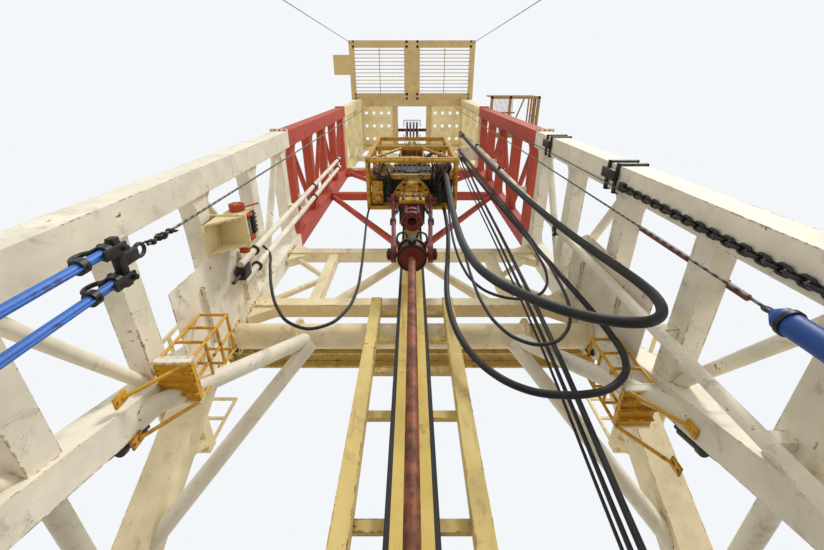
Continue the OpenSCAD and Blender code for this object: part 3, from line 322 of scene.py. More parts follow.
class Shape:
    """Gathers closed solids into one mesh piece, in places counted from an origin."""

    def __init__(self, origin=(0, 0, 0)):
        self.mesh = bmesh.new()
        self.origin = Vector(origin)
        self.side = 1

    def both(self):
        """Runs a loop that is written for the right side of the rig on the left and on the right."""
        for self.side in (-1, 1):
            yield self.side

    def turned(self, way):
        """A direction, on the side that is being built."""
        return Vector((way[0] * self.side, way[1], way[2]))

    def place(self, point):
        """A place in the rig, on the side that is being built."""
        return self.origin + self.turned(point)

    def skin(self, loops, closed):
        """Faces between loops of vertices, each joined to the next."""
        for loop, after in zip(loops, [*loops[1:], loops[0]] if closed else loops[1:]):
            for k in range(len(loop)):
                far = (k + 1) % len(loop)
                self.mesh.faces.new((loop[k], loop[far], after[far], after[k]))

    def block(self, corner, opposite, bevel=0.0):
        """A block from one corner to the opposite one, its edges rounded by the bevel."""
        corner, opposite = self.place(corner), self.place(opposite)
        verts = bmesh.ops.create_cube(self.mesh, size=1.0)["verts"]
        bmesh.ops.scale(self.mesh, vec=[abs(d) for d in opposite - corner], verts=verts)
        bmesh.ops.translate(self.mesh, vec=(corner + opposite) / 2, verts=verts)
        if bevel:
            edges = list({edge for vert in verts for edge in vert.link_edges})
            bmesh.ops.bevel(self.mesh, geom=edges, offset=bevel, segments=2, affect="EDGES",
                            profile=0.5)
        return self

    def blocks(self, bevel, *corners):
        """Blocks with the same bevel, each from one corner to the opposite one."""
        for corner, opposite in corners:
            self.block(corner, opposite, bevel)
        return self

    def cone(self, a, b, radius, end_radius, sides):
        """A closed cone or cylinder between two places in the rig."""
        turn = Vector(UP).rotation_difference(b - a).to_matrix().to_4x4()
        bmesh.ops.create_cone(self.mesh, cap_ends=True, segments=sides, radius1=radius,
                              radius2=end_radius, depth=(b - a).length,
                              matrix=Matrix.Translation((a + b) / 2) @ turn)

    def rod(self, a, b, radius, end_radius=None, sides=20):
        self.cone(self.place(a), self.place(b), radius, end_radius or radius, sides)
        return self

    def tube(self, line, radius, sides=12, closed=False):
        """A round bar along a line, or round a closed one."""
        line = [self.place(p) for p in line]
        last, side, rings = len(line) - 1, None, []
        for i, point in enumerate(line):
            if closed:
                heading = line[i + 1 if i < last else 0] - line[i - 1]
            else:
                heading = line[min(i + 1, last)] - line[max(i - 1, 0)]
            heading.normalize()
            side = heading.orthogonal() if side is None else side - heading * side.dot(heading)
            side.normalize()
            ring = circle(point, side, heading.cross(side), radius, turns(sides))
            rings.append([self.mesh.verts.new(p) for p in ring])
        self.skin(rings, closed)
        if not closed:
            self.mesh.faces.new(list(reversed(rings[0])))
            self.mesh.faces.new(rings[-1])
        return self

    def eye(self, centre, reach, rise, wire, count=20, sides=8):
        """A closed eye of round bar, by how far it reaches sideways and up."""
        centre, reach, rise = Vector(centre), Vector(reach), Vector((0, 0, rise))
        return self.tube([centre + math.cos(a) * reach + math.sin(a) * rise for a in turns(count)],
                         wire, sides, closed=True)

    def head(self, foot, axis, size):
        """A hexagon head on its washer."""
        self.cone(foot, foot + axis * size * 0.2, size * 1.2, size * 1.2, 16)
        self.cone(foot, foot + axis * size * 0.9, size, size, 6)

    def bolt(self, foot, axis, size):
        self.head(self.place(foot), self.turned(axis), size)

    def bolts(self, centre, axis, ring_radius, count, size):
        """Bolt heads round a circle."""
        axis = self.turned(axis)
        for foot in circle(self.place(centre), *plane(axis), ring_radius, turns(count, 0.5)):
            self.head(foot, axis, size)
        return self

    def ring(self, centre, axis, inner, outer, depth, sides=40):
        """A flat ring, or a disc where inner is 0, standing from its centre along the axis."""
        centre, axis = self.place(centre), self.turned(axis)
        if inner <= 0:
            self.cone(centre, centre + axis * depth, outer, outer, sides)
            return self
        loops = [circle(centre + axis * height, *plane(axis), radius, turns(sides))
                 for radius, height in ((inner, 0), (outer, 0), (outer, depth), (inner, depth))]
        self.skin([[self.mesh.verts.new(p) for p in loop] for loop in loops], True)
        return self

    def prism(self, outline, axis, low, high):
        """An outline in the plane across an axis (0, 1 or 2), filled from low to high along it."""
        rings = [[self.mesh.verts.new(self.place([*corner[:axis], level, *corner[axis:]]))
                  for corner in outline] for level in (low, high)]
        self.skin(rings, False)
        self.mesh.faces.new(rings[0])
        self.mesh.faces.new(list(reversed(rings[1])))
        return self

    def loop_round(self, low, high, width, thickness=0.02):
        """A flat band round a square post, from one corner to the other."""
        (x0, y0, z), (x1, y1, _) = low, high
        for corner, opposite in (((x0, y0), (x1, y0 + thickness)), ((x0, y1 - thickness), (x1, y1)),
                                 ((x0, y0), (x0 + thickness, y1)), ((x1 - thickness, y0), (x1, y1))):
            self.block((*corner, z - width / 2), (*opposite, z + width / 2))
        return self

    def fence(self, corners, z, height, radius, shares):
        """Posts at the corners, joined in order by mid rails at shares of the height and a top one."""
        for x, y in corners:
            self.rod((x, y, z), (x, y, z + height + radius), radius, sides=12)
        for start, end in zip(corners, corners[1:]):
            for share in (*shares, 1.0):
                rail = z + height * share
                self.rod((*start, rail), (*end, rail), radius, sides=12)
        return self

    def union(self, x, y, z, radius):
        """A wing nut round a pipe, with three lugs to strike."""
        self.ring((x, y, z), UP, radius, radius + 0.035, 0.12, sides=36)
        foot = Vector((x, y, z + 0.06))
        for angle in turns(3):
            out = Vector((math.cos(angle), math.sin(angle), 0))
            self.rod(foot + out * (radius + 0.03), foot + out * (radius + 0.085), 0.035, 0.028, 8)

    def piece(self, name, finish, body=None, slot=None):
        """Ends the piece: shaded round across soft edges, finished, and riding on its body."""
        bmesh.ops.recalc_face_normals(self.mesh, faces=self.mesh.faces)
        for edge in self.mesh.edges:
            edge.smooth = len(edge.link_faces) == 2 and edge.calc_face_angle() < SOFT_EDGE
        for face in self.mesh.faces:
            face.smooth = True
        data = bpy.data.meshes.new(name)
        self.mesh.to_mesh(data)
        self.mesh.free()
        made = bpy.data.objects.new(name, data)
        bpy.context.scene.collection.objects.link(made)
        made.data.materials.append(MATERIALS[finish])
        if body:
            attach(made, body)
        return made


# Where the hoses lie from front to rear, and the ends of the mud hose across the rig
HOSE_Y = -0.65
SERVICE_Y = 0.29
NECK_X = 0.85
BRACKET_X = 2.15
# Points of the hoses, from the top drive to the mast, with heights above the drill floor
ROTARY_HOSE = [
    (0.85, 15.55), (0.85, 15.3), (0.848, 14.0), (0.845, 12.4), (0.84, 11.5), (0.79, 10.0),
    (0.745, 8.7), (0.73, 7.7), (0.74, 7.1), (0.79, 6.55), (0.89, 6.1), (1.04, 5.78), (1.23, 5.52),
    (1.45, 5.28), (1.69, 5.1), (1.93, 4.99), (2.15, 4.94), (2.35, 4.96), (2.51, 5.06),
    (2.62, 5.23), (2.68, 5.46), (2.68, 5.8), (2.62, 6.25), (2.52, 6.9), (2.4, 8.0), (2.3, 9.4),
    (2.22, 11.4), (2.17, 14.4), (2.15, 17.4), (2.15, 19.7), (2.15, 19.9)]
SERVICE_HOSE = [
    (0.85, 12.1), (0.85, 11.85), (0.845, 11.3), (0.8, 10.0), (0.69, 8.7), (0.6, 7.8), (0.56, 7.2),
    (0.57, 6.6), (0.63, 6.1), (0.74, 5.7), (0.9, 5.38), (1.11, 5.14), (1.35, 5.0), (1.62, 4.95),
    (1.88, 4.96), (2.13, 5.02), (2.35, 5.16), (2.53, 5.36), (2.64, 5.65), (2.68, 6.1),
    (2.67, 6.7), (2.62, 7.7), (2.54, 9.2), (2.44, 11.0), (2.33, 13.4), (2.24, 16.0),
    (2.19, 18.2), (2.15, 19.3), (2.15, 19.6)]
# Two control hoses, the first loop higher than the second
CONTROL_HOSES = [
    (0.06, [(0.93, 12.3), (0.93, 11.9), (0.9, 11.2), (0.84, 9.9), (0.82, 8.6), (0.86, 7.8),
            (0.96, 7.25), (1.15, 6.87), (1.4, 6.7), (1.67, 6.68), (1.9, 6.82), (2.08, 7.1),
            (2.2, 7.5), (2.28, 8.3), (2.32, 9.6), (2.3, 11.2), (2.24, 13.4), (2.18, 16.0),
            (2.12, 18.5), (2.1, 19.3), (2.1, 19.6)]),
    (-0.07, [(1.0, 12.3), (1.0, 11.9), (0.98, 11.0), (0.94, 9.6), (0.92, 8.0), (0.92, 7.0),
             (0.96, 6.3), (1.06, 5.8), (1.22, 5.5), (1.42, 5.38), (1.64, 5.42), (1.86, 5.64),
             (2.02, 5.96), (2.14, 6.4), (2.22, 7.1), (2.27, 8.4), (2.27, 10.4), (2.21, 13.0),
             (2.13, 16.0), (2.06, 18.6), (2.04, 19.3), (2.04, 19.6)])]
LEFT_HOSE = [
    (-1.14, 0.29, 12.1), (-1.14, 0.3, 11.7), (-1.11, 0.32, 11.0), (-1.02, 0.34, 9.6),
    (-0.94, 0.35, 8.3), (-0.92, 0.36, 7.5), (-1.0, 0.36, 6.85), (-1.18, 0.36, 6.48),
    (-1.45, 0.35, 6.33), (-1.75, 0.33, 6.45), (-2.05, 0.3, 6.85), (-2.3, 0.25, 7.4),
    (-2.52, 0.2, 8.05), (-2.72, 0.12, 8.62), (-2.905, 0.05, 8.8)]
# Supply hoses that hang from the arm down to the floor: one line, and each one's offset and diameter
SUPPLY_LINE = [
    (2.06, 0.2, 19.6), (2.05, 0.24, 18.8), (2.02, 0.42, 15.6), (1.95, 0.5, 9.5), (1.88, 0.56, 6.0),
    (1.82, 0.72, 3.6), (1.8, 0.86, 1.8), (1.85, 0.95, 0.5), (1.9, 1.0, 0.0)]
SUPPLY_HOSES = [(0, 0, 0.05), (0.1, 0.03, 0.07), (-0.03, 0.06, 0.035), (0.04, -0.06, 0.04)]


def hang(name, points, diameter, start_body, y=None):
    """A hose along given points, with its transform baked if it starts on the hoist, and riding on the
    rig otherwise.
    """
    line = smooth_line([(p[0], y if len(p) == 2 else p[1], p[-1] + FLOOR_Z) for p in points])
    hose = Shape().tube(line, diameter / 2, 20 if diameter > 0.06 else 14).piece(name, "rubber")
    if start_body == "hoist" and line[-1].x > 0:
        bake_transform(hose)
    elif start_body == "hoist":
        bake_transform(hose)
    else:
        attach(hose, "rig")
    return hose


def build_hoses():
    """The hoses that loop down from the top drive and the supply hoses beside them."""
    gear = bpy.context.scene.rig_gear
    for node, points, y, diameter in (("rotary_hose", ROTARY_HOSE, HOSE_Y, gear.rotary_hose),
                                      ("service_hose", SERVICE_HOSE, SERVICE_Y, gear.service_hose)):
        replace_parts(hang(f"{node}_cover", points, round(diameter, 4), "hoist", y), node)
    for number, (y, points) in enumerate(CONTROL_HOSES, 1):
        hang(f"control_hose_{number}", points, round(gear.control_hose, 4), "hoist", y)
    hang("left_hose", LEFT_HOSE, round(gear.left_hose, 4), "hoist")
    for number, (dx, dy, diameter) in enumerate(SUPPLY_HOSES, 1):
        points = [(x + dx * (1 + 0.05 * z), y + dy * (1 + 0.06 * z), z) for x, y, z in SUPPLY_LINE]
        hang(f"supply_hose_{number}", points, diameter, "rig")


def build_drilling_lines():
    """The drilling lines from the travelling block up to the crown, and over their sheaves."""
    low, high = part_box("drilling_lines")
    radius = bpy.context.scene.rig_gear.line_radius
    reach = high.y - radius
    sheaves, spans = (-0.3, -0.1, 0.1, 0.3), 24
    lines = Shape()
    for x in sheaves:
        for y in (-reach, reach):
            lines.tube([(x, y, low.z + (high.z - low.z) * i / spans) for i in range(spans + 1)],
                       radius, 10)
    lines = lines.piece("hoisting_lines", "wire_rope")
    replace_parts(lines, "drilling_lines")
    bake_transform(lines)
    half_turn = [math.pi * k / 20 for k in range(21)]
    for name, z, sign, body in (("crown_wraps", high.z, 1, "rig"), ("block_wraps", low.z, -1, "hoist")):
        wraps = Shape((0, 0, z))
        for x in sheaves:
            wraps.tube([(x, reach * math.cos(a), sign * reach * math.sin(a)) for a in half_turn],
                       radius, 10)
        wraps.piece(name, "wire_rope", body)


def build_flange_ring():
    """The bolted yellow ring round the quill, and the link hanger under it."""
    under = (0, 0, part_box("pipe_handler")[1].z)
    ring = Shape(under).ring((0, 0, -0.035), UP, 0.24, 0.49, 0.035, 64)
    ring.ring((0, 0, -0.1), UP, 0.225, 0.3, 0.065, 48)
    ring.piece("quill_flange", "oily_yellow", "hoist", "yellow_steel")
    heads = Shape(under).bolts((0, 0, -0.035), DOWN, 0.42, 12, 0.032)
    heads.bolts((0, 0, -0.1), DOWN, 0.265, 10, 0.018)
    heads.piece("quill_bolts", "dark_steel", "hoist")

    hanger = Shape(under)
    hanger.blocks(0.02, ((-0.15, -0.35, -0.56), (0.15, -0.22, -0.04)),
                  ((-0.15, 0.22, -0.56), (0.15, 0.35, -0.04)))
    hanger.block((-0.27, -0.31, -0.86), (0.27, 0.31, -0.62), 0.03)
    for _ in hanger.both():
        hanger.block((0.24, -0.2, -0.2), (0.41, 0.2, -0.04), 0.02)
        hanger.bolts((0.14, -0.31, -0.74), FORWARD, 0.07, 4, 0.018)
    hanger.bolts((0, -0.35, -0.15), FORWARD, 0.07, 4, 0.016)
    # Front cover, and the gripper that closes round the pipe below
    hanger.block((-0.12, -0.46, -0.42), (0.12, -0.34, -0.02), 0.015)
    hanger.blocks(0.02, ((-0.3, -0.3, -1.3), (0.3, -0.2, -1.02)), ((-0.3, 0.2, -1.3), (0.3, 0.3, -1.02)))
    hanger.piece("link_hanger", "oily_yellow", "hoist", "yellow_steel")


def build_handler_gear():
    """Clamp cylinder, tilt rams and guides of the pipe handler, and the grips of the elevator."""
    low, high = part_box("pipe_handler")
    foot = (0, 0, low.z)
    lock_z = high.z - low.z - 0.23
    gear = Shape(foot)
    for z in (0.04, 0.37):
        gear.block((-0.3, -0.25, z), (0.3, 0.25, z + 0.04), 0.01)
        gear.bolt((0, -0.25, z + 0.02), FORWARD, 0.016)
    for _ in gear.both():
        gear.rod((0.2, -0.27, 0.05), (0.2, -0.27, 0.62), 0.05)
        gear.rod((0.2, -0.27, 0.62), (0.2, -0.27, 0.72), 0.025)
        # Tilt ram from the handler to its clamp on the link
        gear.rod((0.28, -0.12, 0.2), (0.36, -0.1, -0.3), 0.04)
        gear.rod((0.36, -0.1, -0.3), (0.41, -0.06, -0.62), 0.022)
        gear.block((0.35, -0.065, -0.72), (0.48, 0.065, -0.58), 0.012)
        gear.rod((0.61, 0, lock_z), (0.65, 0, lock_z), 0.1, sides=32)
    gear.ring((0, 0, -0.12), UP, 0.095, 0.17, 0.12)
    # Jaws and their cylinders below the body
    for _ in gear.both():
        gear.block((0.1, -0.2, -0.62), (0.17, 0.2, 0), 0.015)
        gear.rod((0.2, 0.12, -0.5), (0.2, 0.12, -0.05), 0.045)
        gear.bolts((0.17, 0, -0.4), OUTWARD, 0.1, 6, 0.018)
    gear.piece("handler_gear", "dark_steel", "hoist")

    jaws = Shape(foot)
    for z in (-0.66, -0.36):
        jaws.ring((0, 0, z), UP, 0.1, 0.215, 0.14)
    jaws.bolts((0, 0, -0.66), DOWN, 0.165, 8, 0.018)
    jaws.piece("handler_jaws", "link_red", "hoist")

    low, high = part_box("elevator")
    half = (high.z - low.z) / 2
    grip = Shape((0, 0, middle("elevator").z))
    for z in (-half - 0.02, half - 0.05):
        grip.ring((0, 0, z), UP, 0.225, 0.262, 0.07, 48)
    grip.blocks(0.02, ((-0.075, -0.33, 0.03 - half), (0.075, -0.22, half - 0.03)),
                ((-0.06, 0.22, 0.04 - half), (0.06, 0.3, half - 0.04)))
    grip.rod((0, -0.3, -half - 0.02), (0, -0.3, half + 0.03), 0.025)
    handle = [(0.2, -0.13), (0.26, -0.26), (0.24, -0.38), (0.12, -0.42), (0.08, -0.32)]
    for _ in grip.both():
        grip.rod((0.385, 0, 0), (0.425, 0, 0), 0.11, sides=36)
        grip.bolts((0.44, 0, 0), OUTWARD, 0.045, 4, 0.014)
        grip.tube(smooth_line([(x, y, -0.02) for x, y in handle], 6), 0.018)
    grip.piece("elevator_grips", "dark_steel", "hoist")


def build_cage_gear():
    """Brake box, valve block and rub bars at the foot of the cage."""
    low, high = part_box("top_drive_guard")
    plate = PLATE_Z - low.z
    box = Shape((0, 0, low.z))
    box.block((-1.05, -0.42, -0.06), (-0.76, 0.18, plate), 0.02)
    box.rod((-0.905, -0.34, -0.03), (-0.905, -0.34, -0.1), 0.07, sides=28)
    box.rod((-0.905, 0.02, -0.03), (-0.905, 0.02, -0.09), 0.11, sides=32)
    box.bolts((-0.905, 0.02, -0.09), DOWN, 0.085, 8, 0.01)
    for x in (-1.02, -0.79):
        for y in (-0.39, -0.2, 0.15):
            box.bolt((x, y, -0.06), DOWN, 0.012)
    for y in (low.y + 0.06, high.y - 0.06):
        box.rod((low.x + 0.02, y, -0.045), (high.x - 0.02, y, -0.045), 0.05, sides=24)
    for x in (low.x + 0.06, high.x - 0.06):
        box.rod((x, low.y + 0.02, -0.045), (x, high.y - 0.02, -0.045), 0.045, sides=24)
    box.piece("cage_rub_bars", "oily_yellow", "hoist", "yellow_steel")

    valves = Shape((0, 0, low.z))
    valves.blocks(0.012, ((0.58, -0.42, -0.02), (0.78, 0.16, plate)),
                  ((0.84, -0.4, 0.03), (1.04, -0.1, plate)), ((-0.7, -0.4, 0.04), (-0.56, -0.05, plate)))
    for k in range(6):
        y = -0.36 + 0.09 * k
        valves.rod((0.68, y, -0.02), (0.68, y, -0.1), 0.028, sides=16)
        valves.rod((0.68, y, -0.1), (0.68, y, -0.14), 0.02, sides=6)
    for k in range(3):
        y = -0.36 + 0.1 * k
        valves.rod((0.94, y, 0.03), (0.94, y, -0.05), 0.03, sides=16)
    valves.block((-0.3, 0.25, 0.02), (0.3, 0.33, plate), 0.01)
    valves.piece("valve_blocks", "dark_steel", "hoist")


def build_cage_hoses():
    """Short hydraulic hoses that loop between the valve blocks and the drive."""
    # The number and the runs of the hoses are made up, and the seed keeps them the same
    draw = random.Random(7)
    hoses = Shape((0, 0, PLATE_Z))
    for side, count in ((1, 22), (-1, 12)):
        for _ in range(count):
            x = side * draw.uniform(0.5, 1.0)
            y = draw.uniform(-0.9, -0.5)
            far_x = side * draw.uniform(0.35, 0.95)
            far_y = draw.uniform(-0.45, 0.1)
            sag = draw.uniform(0.12, 0.3)
            top = draw.uniform(0.3, 1.2)
            line = smooth_line([(x, y, top), (x, y, top - 0.15),
                                (x * 0.9 + far_x * 0.1, y * 0.9 + far_y * 0.1, -sag * 0.6),
                                ((x + far_x) / 2, (y + far_y) / 2, -sag),
                                (far_x, far_y, -sag * 0.5), (far_x, far_y, 0.02)], 6)
            hoses.tube(line, draw.choice((0.012, 0.016, 0.02)), 10)
    hoses.piece("cage_hoses", "rubber", "hoist")


def build_block_gear():
    """Pin bosses, cheek bolts and the line guard of the travelling block."""
    low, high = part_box("travelling_block")
    axle_z = middle("block_sheaves").z
    foot = low.z - axle_z + 0.12
    gear = Shape((0, 0, axle_z))
    for _ in gear.both():
        gear.ring((high.x, 0, 0), OUTWARD, 0.0, 0.17, 0.05)
        gear.bolts((high.x + 0.05, 0, 0), OUTWARD, 0.12, 8, 0.016)
        for y, z in ((-0.297, 0.32), (0.297, 0.32), (-0.297, -0.35), (0.297, -0.35), (0, 0.62),
                     (0, -0.6)):
            gear.bolt((high.x, y, z), OUTWARD, 0.022)
    gear.rod((-high.x - 0.02, 0, foot), (high.x + 0.02, 0, foot), 0.075, sides=32)
    for y in (-0.36, 0.36):
        gear.rod((-high.x, y, -0.25), (high.x, y, -0.25), 0.022)
    gear.piece("block_pins", "dark_steel", "hoist")


def build_drive_casings():
    """Ribs, covers and cooling rings of the gearbox and its motors."""
    low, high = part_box("top_drive_motors")
    motors = Shape((0, middle("top_drive_motors").y, low.z))
    x = high.x - 0.24
    for side in motors.both():
        for k in range(13):
            motors.ring((x, 0, 0.14 + 0.095 * k), UP, 0.235, 0.262, 0.03)
        motors.ring((x, 0, 0), UP, 0.235, 0.3, 0.05)
        motors.bolts((x, 0, 0.05), UP, 0.275, 10, 0.014)
        motors.ring((x, 0, 1.42), UP, 0.235, 0.28, 0.06)
        motors.block((x - 0.13, -0.42, 0.55), (x + 0.13, -0.24, 0.95), 0.015)
        motors.eye((x, 0, 1.68), (side * 0.07, 0, 0), 0.07, 0.014)
    motors.piece("motor_casings", "oily_yellow", "hoist", "yellow_steel")

    ribs = Shape((0, 0, low.z))
    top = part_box("gooseneck")[0].z - 0.7 - low.z
    for k in range(7):
        x = -0.45 + 0.15 * k
        ribs.block((x - 0.015, -0.44, 0), (x + 0.015, -0.39, top - 0.06), 0.005)
    for z in (0.02, top - 0.1, top / 2):
        ribs.block((-0.55, -0.45, z), (0.55, 0.24, z + 0.05), 0.008)
    ribs.ring((0, -0.46, 0.62), FORWARD, 0.0, 0.24, 0.05)
    ribs.bolts((0, -0.51, 0.62), FORWARD, 0.2, 10, 0.015)
    ribs.ring((0, 0, top), UP, 0.25, 0.36, 0.05, 48)
    ribs.bolts((0, 0, top + 0.05), UP, 0.31, 12, 0.018)
    ribs.ring((0, 0, top + 0.62), UP, 0.08, 0.29, 0.1, 48)
    ribs.bolts((0, 0, top + 0.72), UP, 0.2, 8, 0.018)
    ribs.piece("gearbox_ribs", "drive_body", "hoist")


def build_girt_ends():
    """Bolted end plates and gussets where the girts meet the mast."""
    low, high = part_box("back_bracing_lower")
    middle_y, half, face = (low.y + high.y) / 2, GIRT / 2, MAST_IN - 0.035
    top_low, top_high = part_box("back_bracing_top")
    for name, finish, levels in (
            ("lower_girt_ends", "ivory_steel", (low.z + half, high.z - half)),
            ("middle_girt_ends", "red_steel", (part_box("back_bracing_middle")[1].z - half,)),
            ("top_girt_ends", "cream_steel", (top_low.z + half, top_high.z - half))):
        ends = Shape()
        for _ in ends.both():
            for z in levels:
                ends.block((face, low.y - 0.04, z - 0.24), (MAST_IN, high.y + 0.02, z + 0.24), 0.006)
                for y in (low.y - 0.02, high.y):
                    for dz in (-0.2, -0.07, 0.07, 0.2):
                        ends.bolt((face, y, z + dz), INWARD, 0.02)
                # Haunch plates above and below the girt, welded to both
                for edge, tip in ((z - half, z - half - 0.36), (z + half, z + half + 0.36)):
                    ends.prism([(face, edge), (MAST_IN - 0.5, edge), (face, tip)], 1,
                               middle_y - 0.09, middle_y + 0.09)
        ends.piece(name, finish, "rig", "white_steel" if finish == "ivory_steel" else finish)

    collars = Shape((0, *middle("main_girt").yz))
    for _ in collars.both():
        for x in (MAST_IN - 0.06, MAST_IN - 1.05):
            collars.ring((x, 0, 0), OUTWARD, 0.2, 0.29, 0.045, 48)
            collars.bolts((x, 0, 0), INWARD, 0.25, 14, 0.02)
    collars.piece("main_girt_flanges", "ivory_steel", "rig", "white_steel")


def build_mast_joints():
    """Flange bolts between the mast sections, and the pins at the knees and feet."""
    for name, finish, node in (("lower_joint_bolts", "red_steel", "mast_middle_right"),
                               ("upper_joint_bolts", "cream_steel", "mast_top_right")):
        bolts = Shape((0, 0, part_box(node)[0].z))
        for _ in bolts.both():
            for y, edge in ((MAST_FRONT, MAST_FRONT - 0.024), (MAST_REAR - CHORD, MAST_REAR + 0.024)):
                spots = [(MAST_OUT + 0.024, y + along) for along in (0.0, 0.12, 0.24, CHORD)]
                spots += [(MAST_IN + along, edge) for along in (0.06, 0.175, 0.29)]
                for spot in spots:
                    bolts.bolt((*spot, 0.03), UP, 0.022)
                    bolts.bolt((*spot, -0.03), DOWN, 0.022)
        bolts.piece(name, finish, "rig")

    pins = Shape()
    knee = middle("main_girt").z
    for _ in pins.both():
        for y, z in ((MAST_REAR - 0.08, knee + 0.17), (MAST_REAR - 0.08, knee - 0.17),
                     (MAST_FRONT + CHORD / 2, FEET_Z + 0.35), (-0.72, FEET_Z + 0.3)):
            pins.rod((MAST_IN - 0.07, y, z), (MAST_IN + 0.02, y, z), 0.085, sides=32)
            pins.rod((MAST_IN - 0.03, y, z), (MAST_IN + 0.01, y, z), 0.13, sides=40)
            pins.block((MAST_IN - 0.055, y - 0.03, z - 0.2), (MAST_IN - 0.03, y + 0.03, z + 0.03), 0.004)
            pins.bolt((MAST_IN - 0.055, y, z - 0.165), INWARD, 0.016)
    pins.piece("mast_pins", "dark_steel", "rig")


def build_leg_gear():
    """Straps, the slack chain, a pipe and a wire on the right leg, and jacks beside both legs."""
    straps, strap_levels = Shape(), (14.85, 11.92)
    for z in strap_levels:
        for dz in (-0.13, 0.13):
            straps.loop_round((MAST_IN - 0.03, MAST_FRONT - 0.03, z + dz),
                              (MAST_OUT + 0.03, MAST_FRONT + CHORD + 0.03, z + dz), 0.07)
        straps.block((MAST_IN - 0.09, MAST_FRONT + 0.06, z - 0.2),
                     (MAST_IN - 0.03, MAST_FRONT + 0.2, z + 0.2), 0.01)
    straps.piece("leg_straps", "dark_steel", "rig")

    chain_top, links, pitch = 11.5, 39, 0.1
    wire = bpy.context.scene.rig_gear.chain_wire
    chain = Shape((MAST_IN - 0.03, MAST_FRONT + 0.24, chain_top))
    for k in range(links):
        # Every other link lies across the rest
        wide = Vector((0, 0.036, 0)) if k % 2 else Vector((0.036, 0, 0))
        chain.tube([wide * math.cos(a)
                    + Vector((0, 0, math.copysign(0.028, math.sin(a)) + 0.038 * math.sin(a)
                              - pitch * (k + 0.5))) for a in turns(16)], wire, 8, closed=True)
    chain.block((-0.03, -0.06, -0.02), (0.03, 0.06, 0.12), 0.01)
    chain.piece("leg_chain", "dark_steel", "rig")

    foot, top = 9.5, 12.2
    pipe = Shape((MAST_OUT - 0.03, -0.95, 0)).rod((0, 0, foot), (0, 0, top), 0.035)
    for z in (foot + 0.3, top - 0.3):
        pipe.ring((0, 0, z), UP, 0.035, 0.05, 0.06, 28)
    pipe.piece("leg_pipe", "link_red", "rig")

    wire = Shape().tube([(MAST_IN - 0.05, -1.47, 11.6 + k) for k in range(21)], 0.009, 8)
    wire.piece("leg_wire", "wire_rope", "rig")

    x = MAST_IN + 0.12
    jacks = Shape()
    for _ in jacks.both():
        jacks.rod((x, 0.6, 9.12), (x, 0.68, 9.42), 0.055, sides=28)
        jacks.rod((x, 0.585, 9.06), (x, 0.6, 9.12), 0.07, sides=28)
        jacks.rod((x, 0.68, 9.42), (x, 0.7, 9.5), 0.03)
    jacks.piece("leg_jacks", "drive_body", "rig")

    loops = Shape()
    for _ in loops.both():
        line = [(0, 0.58, 9.07), (0.01, 0.57, 8.99), (0.06, 0.56, 8.89), (0.14, 0.53, 8.86),
                (0.22, 0.5, 8.93), (0.24, 0.49, 9.05), (0.24, 0.49, 9.2)]
        loops.tube(smooth_line([(x + dx, y, z) for dx, y, z in line], 6), 0.013, 10)
    loops.piece("jack_hoses", "rubber", "rig")


def build_leg_baskets():
    """Small railed step platforms hung on the inner faces of the leaning legs."""
    gear = bpy.context.scene.rig_gear
    tube, edge = gear.rail_tube, MAST_IN - gear.basket_reach
    wall, inner, outer = MAST_IN - 0.004, edge + tube, MAST_IN - tube - 0.025
    foot = (0, 0, gear.basket_floor)
    rails, decks = Shape(foot), Shape(foot)
    # The right one stands further back than in the photo, clear of the service hose
    spans = {-1: (-0.03, 0.56), 1: (0.36, 0.95)}
    for side in rails.both():
        decks.side = side
        front, rear = spans[side]
        decks.block((edge, front, -0.012), (wall, rear, 0))
        decks.blocks(0.004, *(((edge, y, -0.1), (wall, y + 0.03, 0.02)) for y in (front, rear - 0.03)))
        rails.block((edge, front + 0.03, -0.08), (wall, rear - 0.03, -0.014))
        for k in range(1, 4):
            y = front + (rear - front) * k / 4
            rails.block((edge, y - 0.012, -0.12), (wall, y + 0.012, -0.08))
        near, far = front + tube, rear - tube
        rails.fence([(outer, near), (inner, near), (inner, (near + far) / 2), (inner, far),
                     (outer, far)], 0, gear.basket_height, tube, (1 / 3, 2 / 3))
        for y in (near, far):
            rails.rod((inner, y, -0.09), (MAST_IN - 0.02, y, -0.62), 0.022)
            rails.block((MAST_IN - 0.03, y - 0.06, -0.72), (wall, y + 0.06, -0.55), 0.004)
            rails.bolt((MAST_IN - 0.03, y, -0.69), INWARD, 0.014)
    rails.piece("leg_baskets", "yellow_steel", "rig")
    decks.piece("basket_decks", "white_steel", "rig")


def build_knee_plates():
    """Broad plates on the legs' inner faces where the round girt comes in."""
    face = MAST_IN - 0.012
    outline = [(-0.55, 10.3), (0.72, 10.3), (1.08, 10.75), (1.08, 12.55), (0.72, 12.75),
               (-0.3, 12.75), (-0.55, 12.3)]
    plates = Shape()
    for _ in plates.both():
        plates.prism(outline, 0, face, MAST_IN - 0.001)
        for y, z in ((-0.42, 10.5), (-0.42, 11.3), (-0.42, 12.1), (0.1, 12.62), (0.6, 12.62),
                     (0.2, 10.42), (0.6, 10.42), (0.98, 10.9), (0.98, 12.4)):
            plates.bolt((face, y, z), INWARD, 0.018)
        # Stiffeners across the plate
        for z in (10.95, 12.2):
            plates.block((MAST_IN - 0.07, -0.3, z), (face, 0.6, z + 0.016))
    plates.piece("knee_plates", "white_steel", "rig")


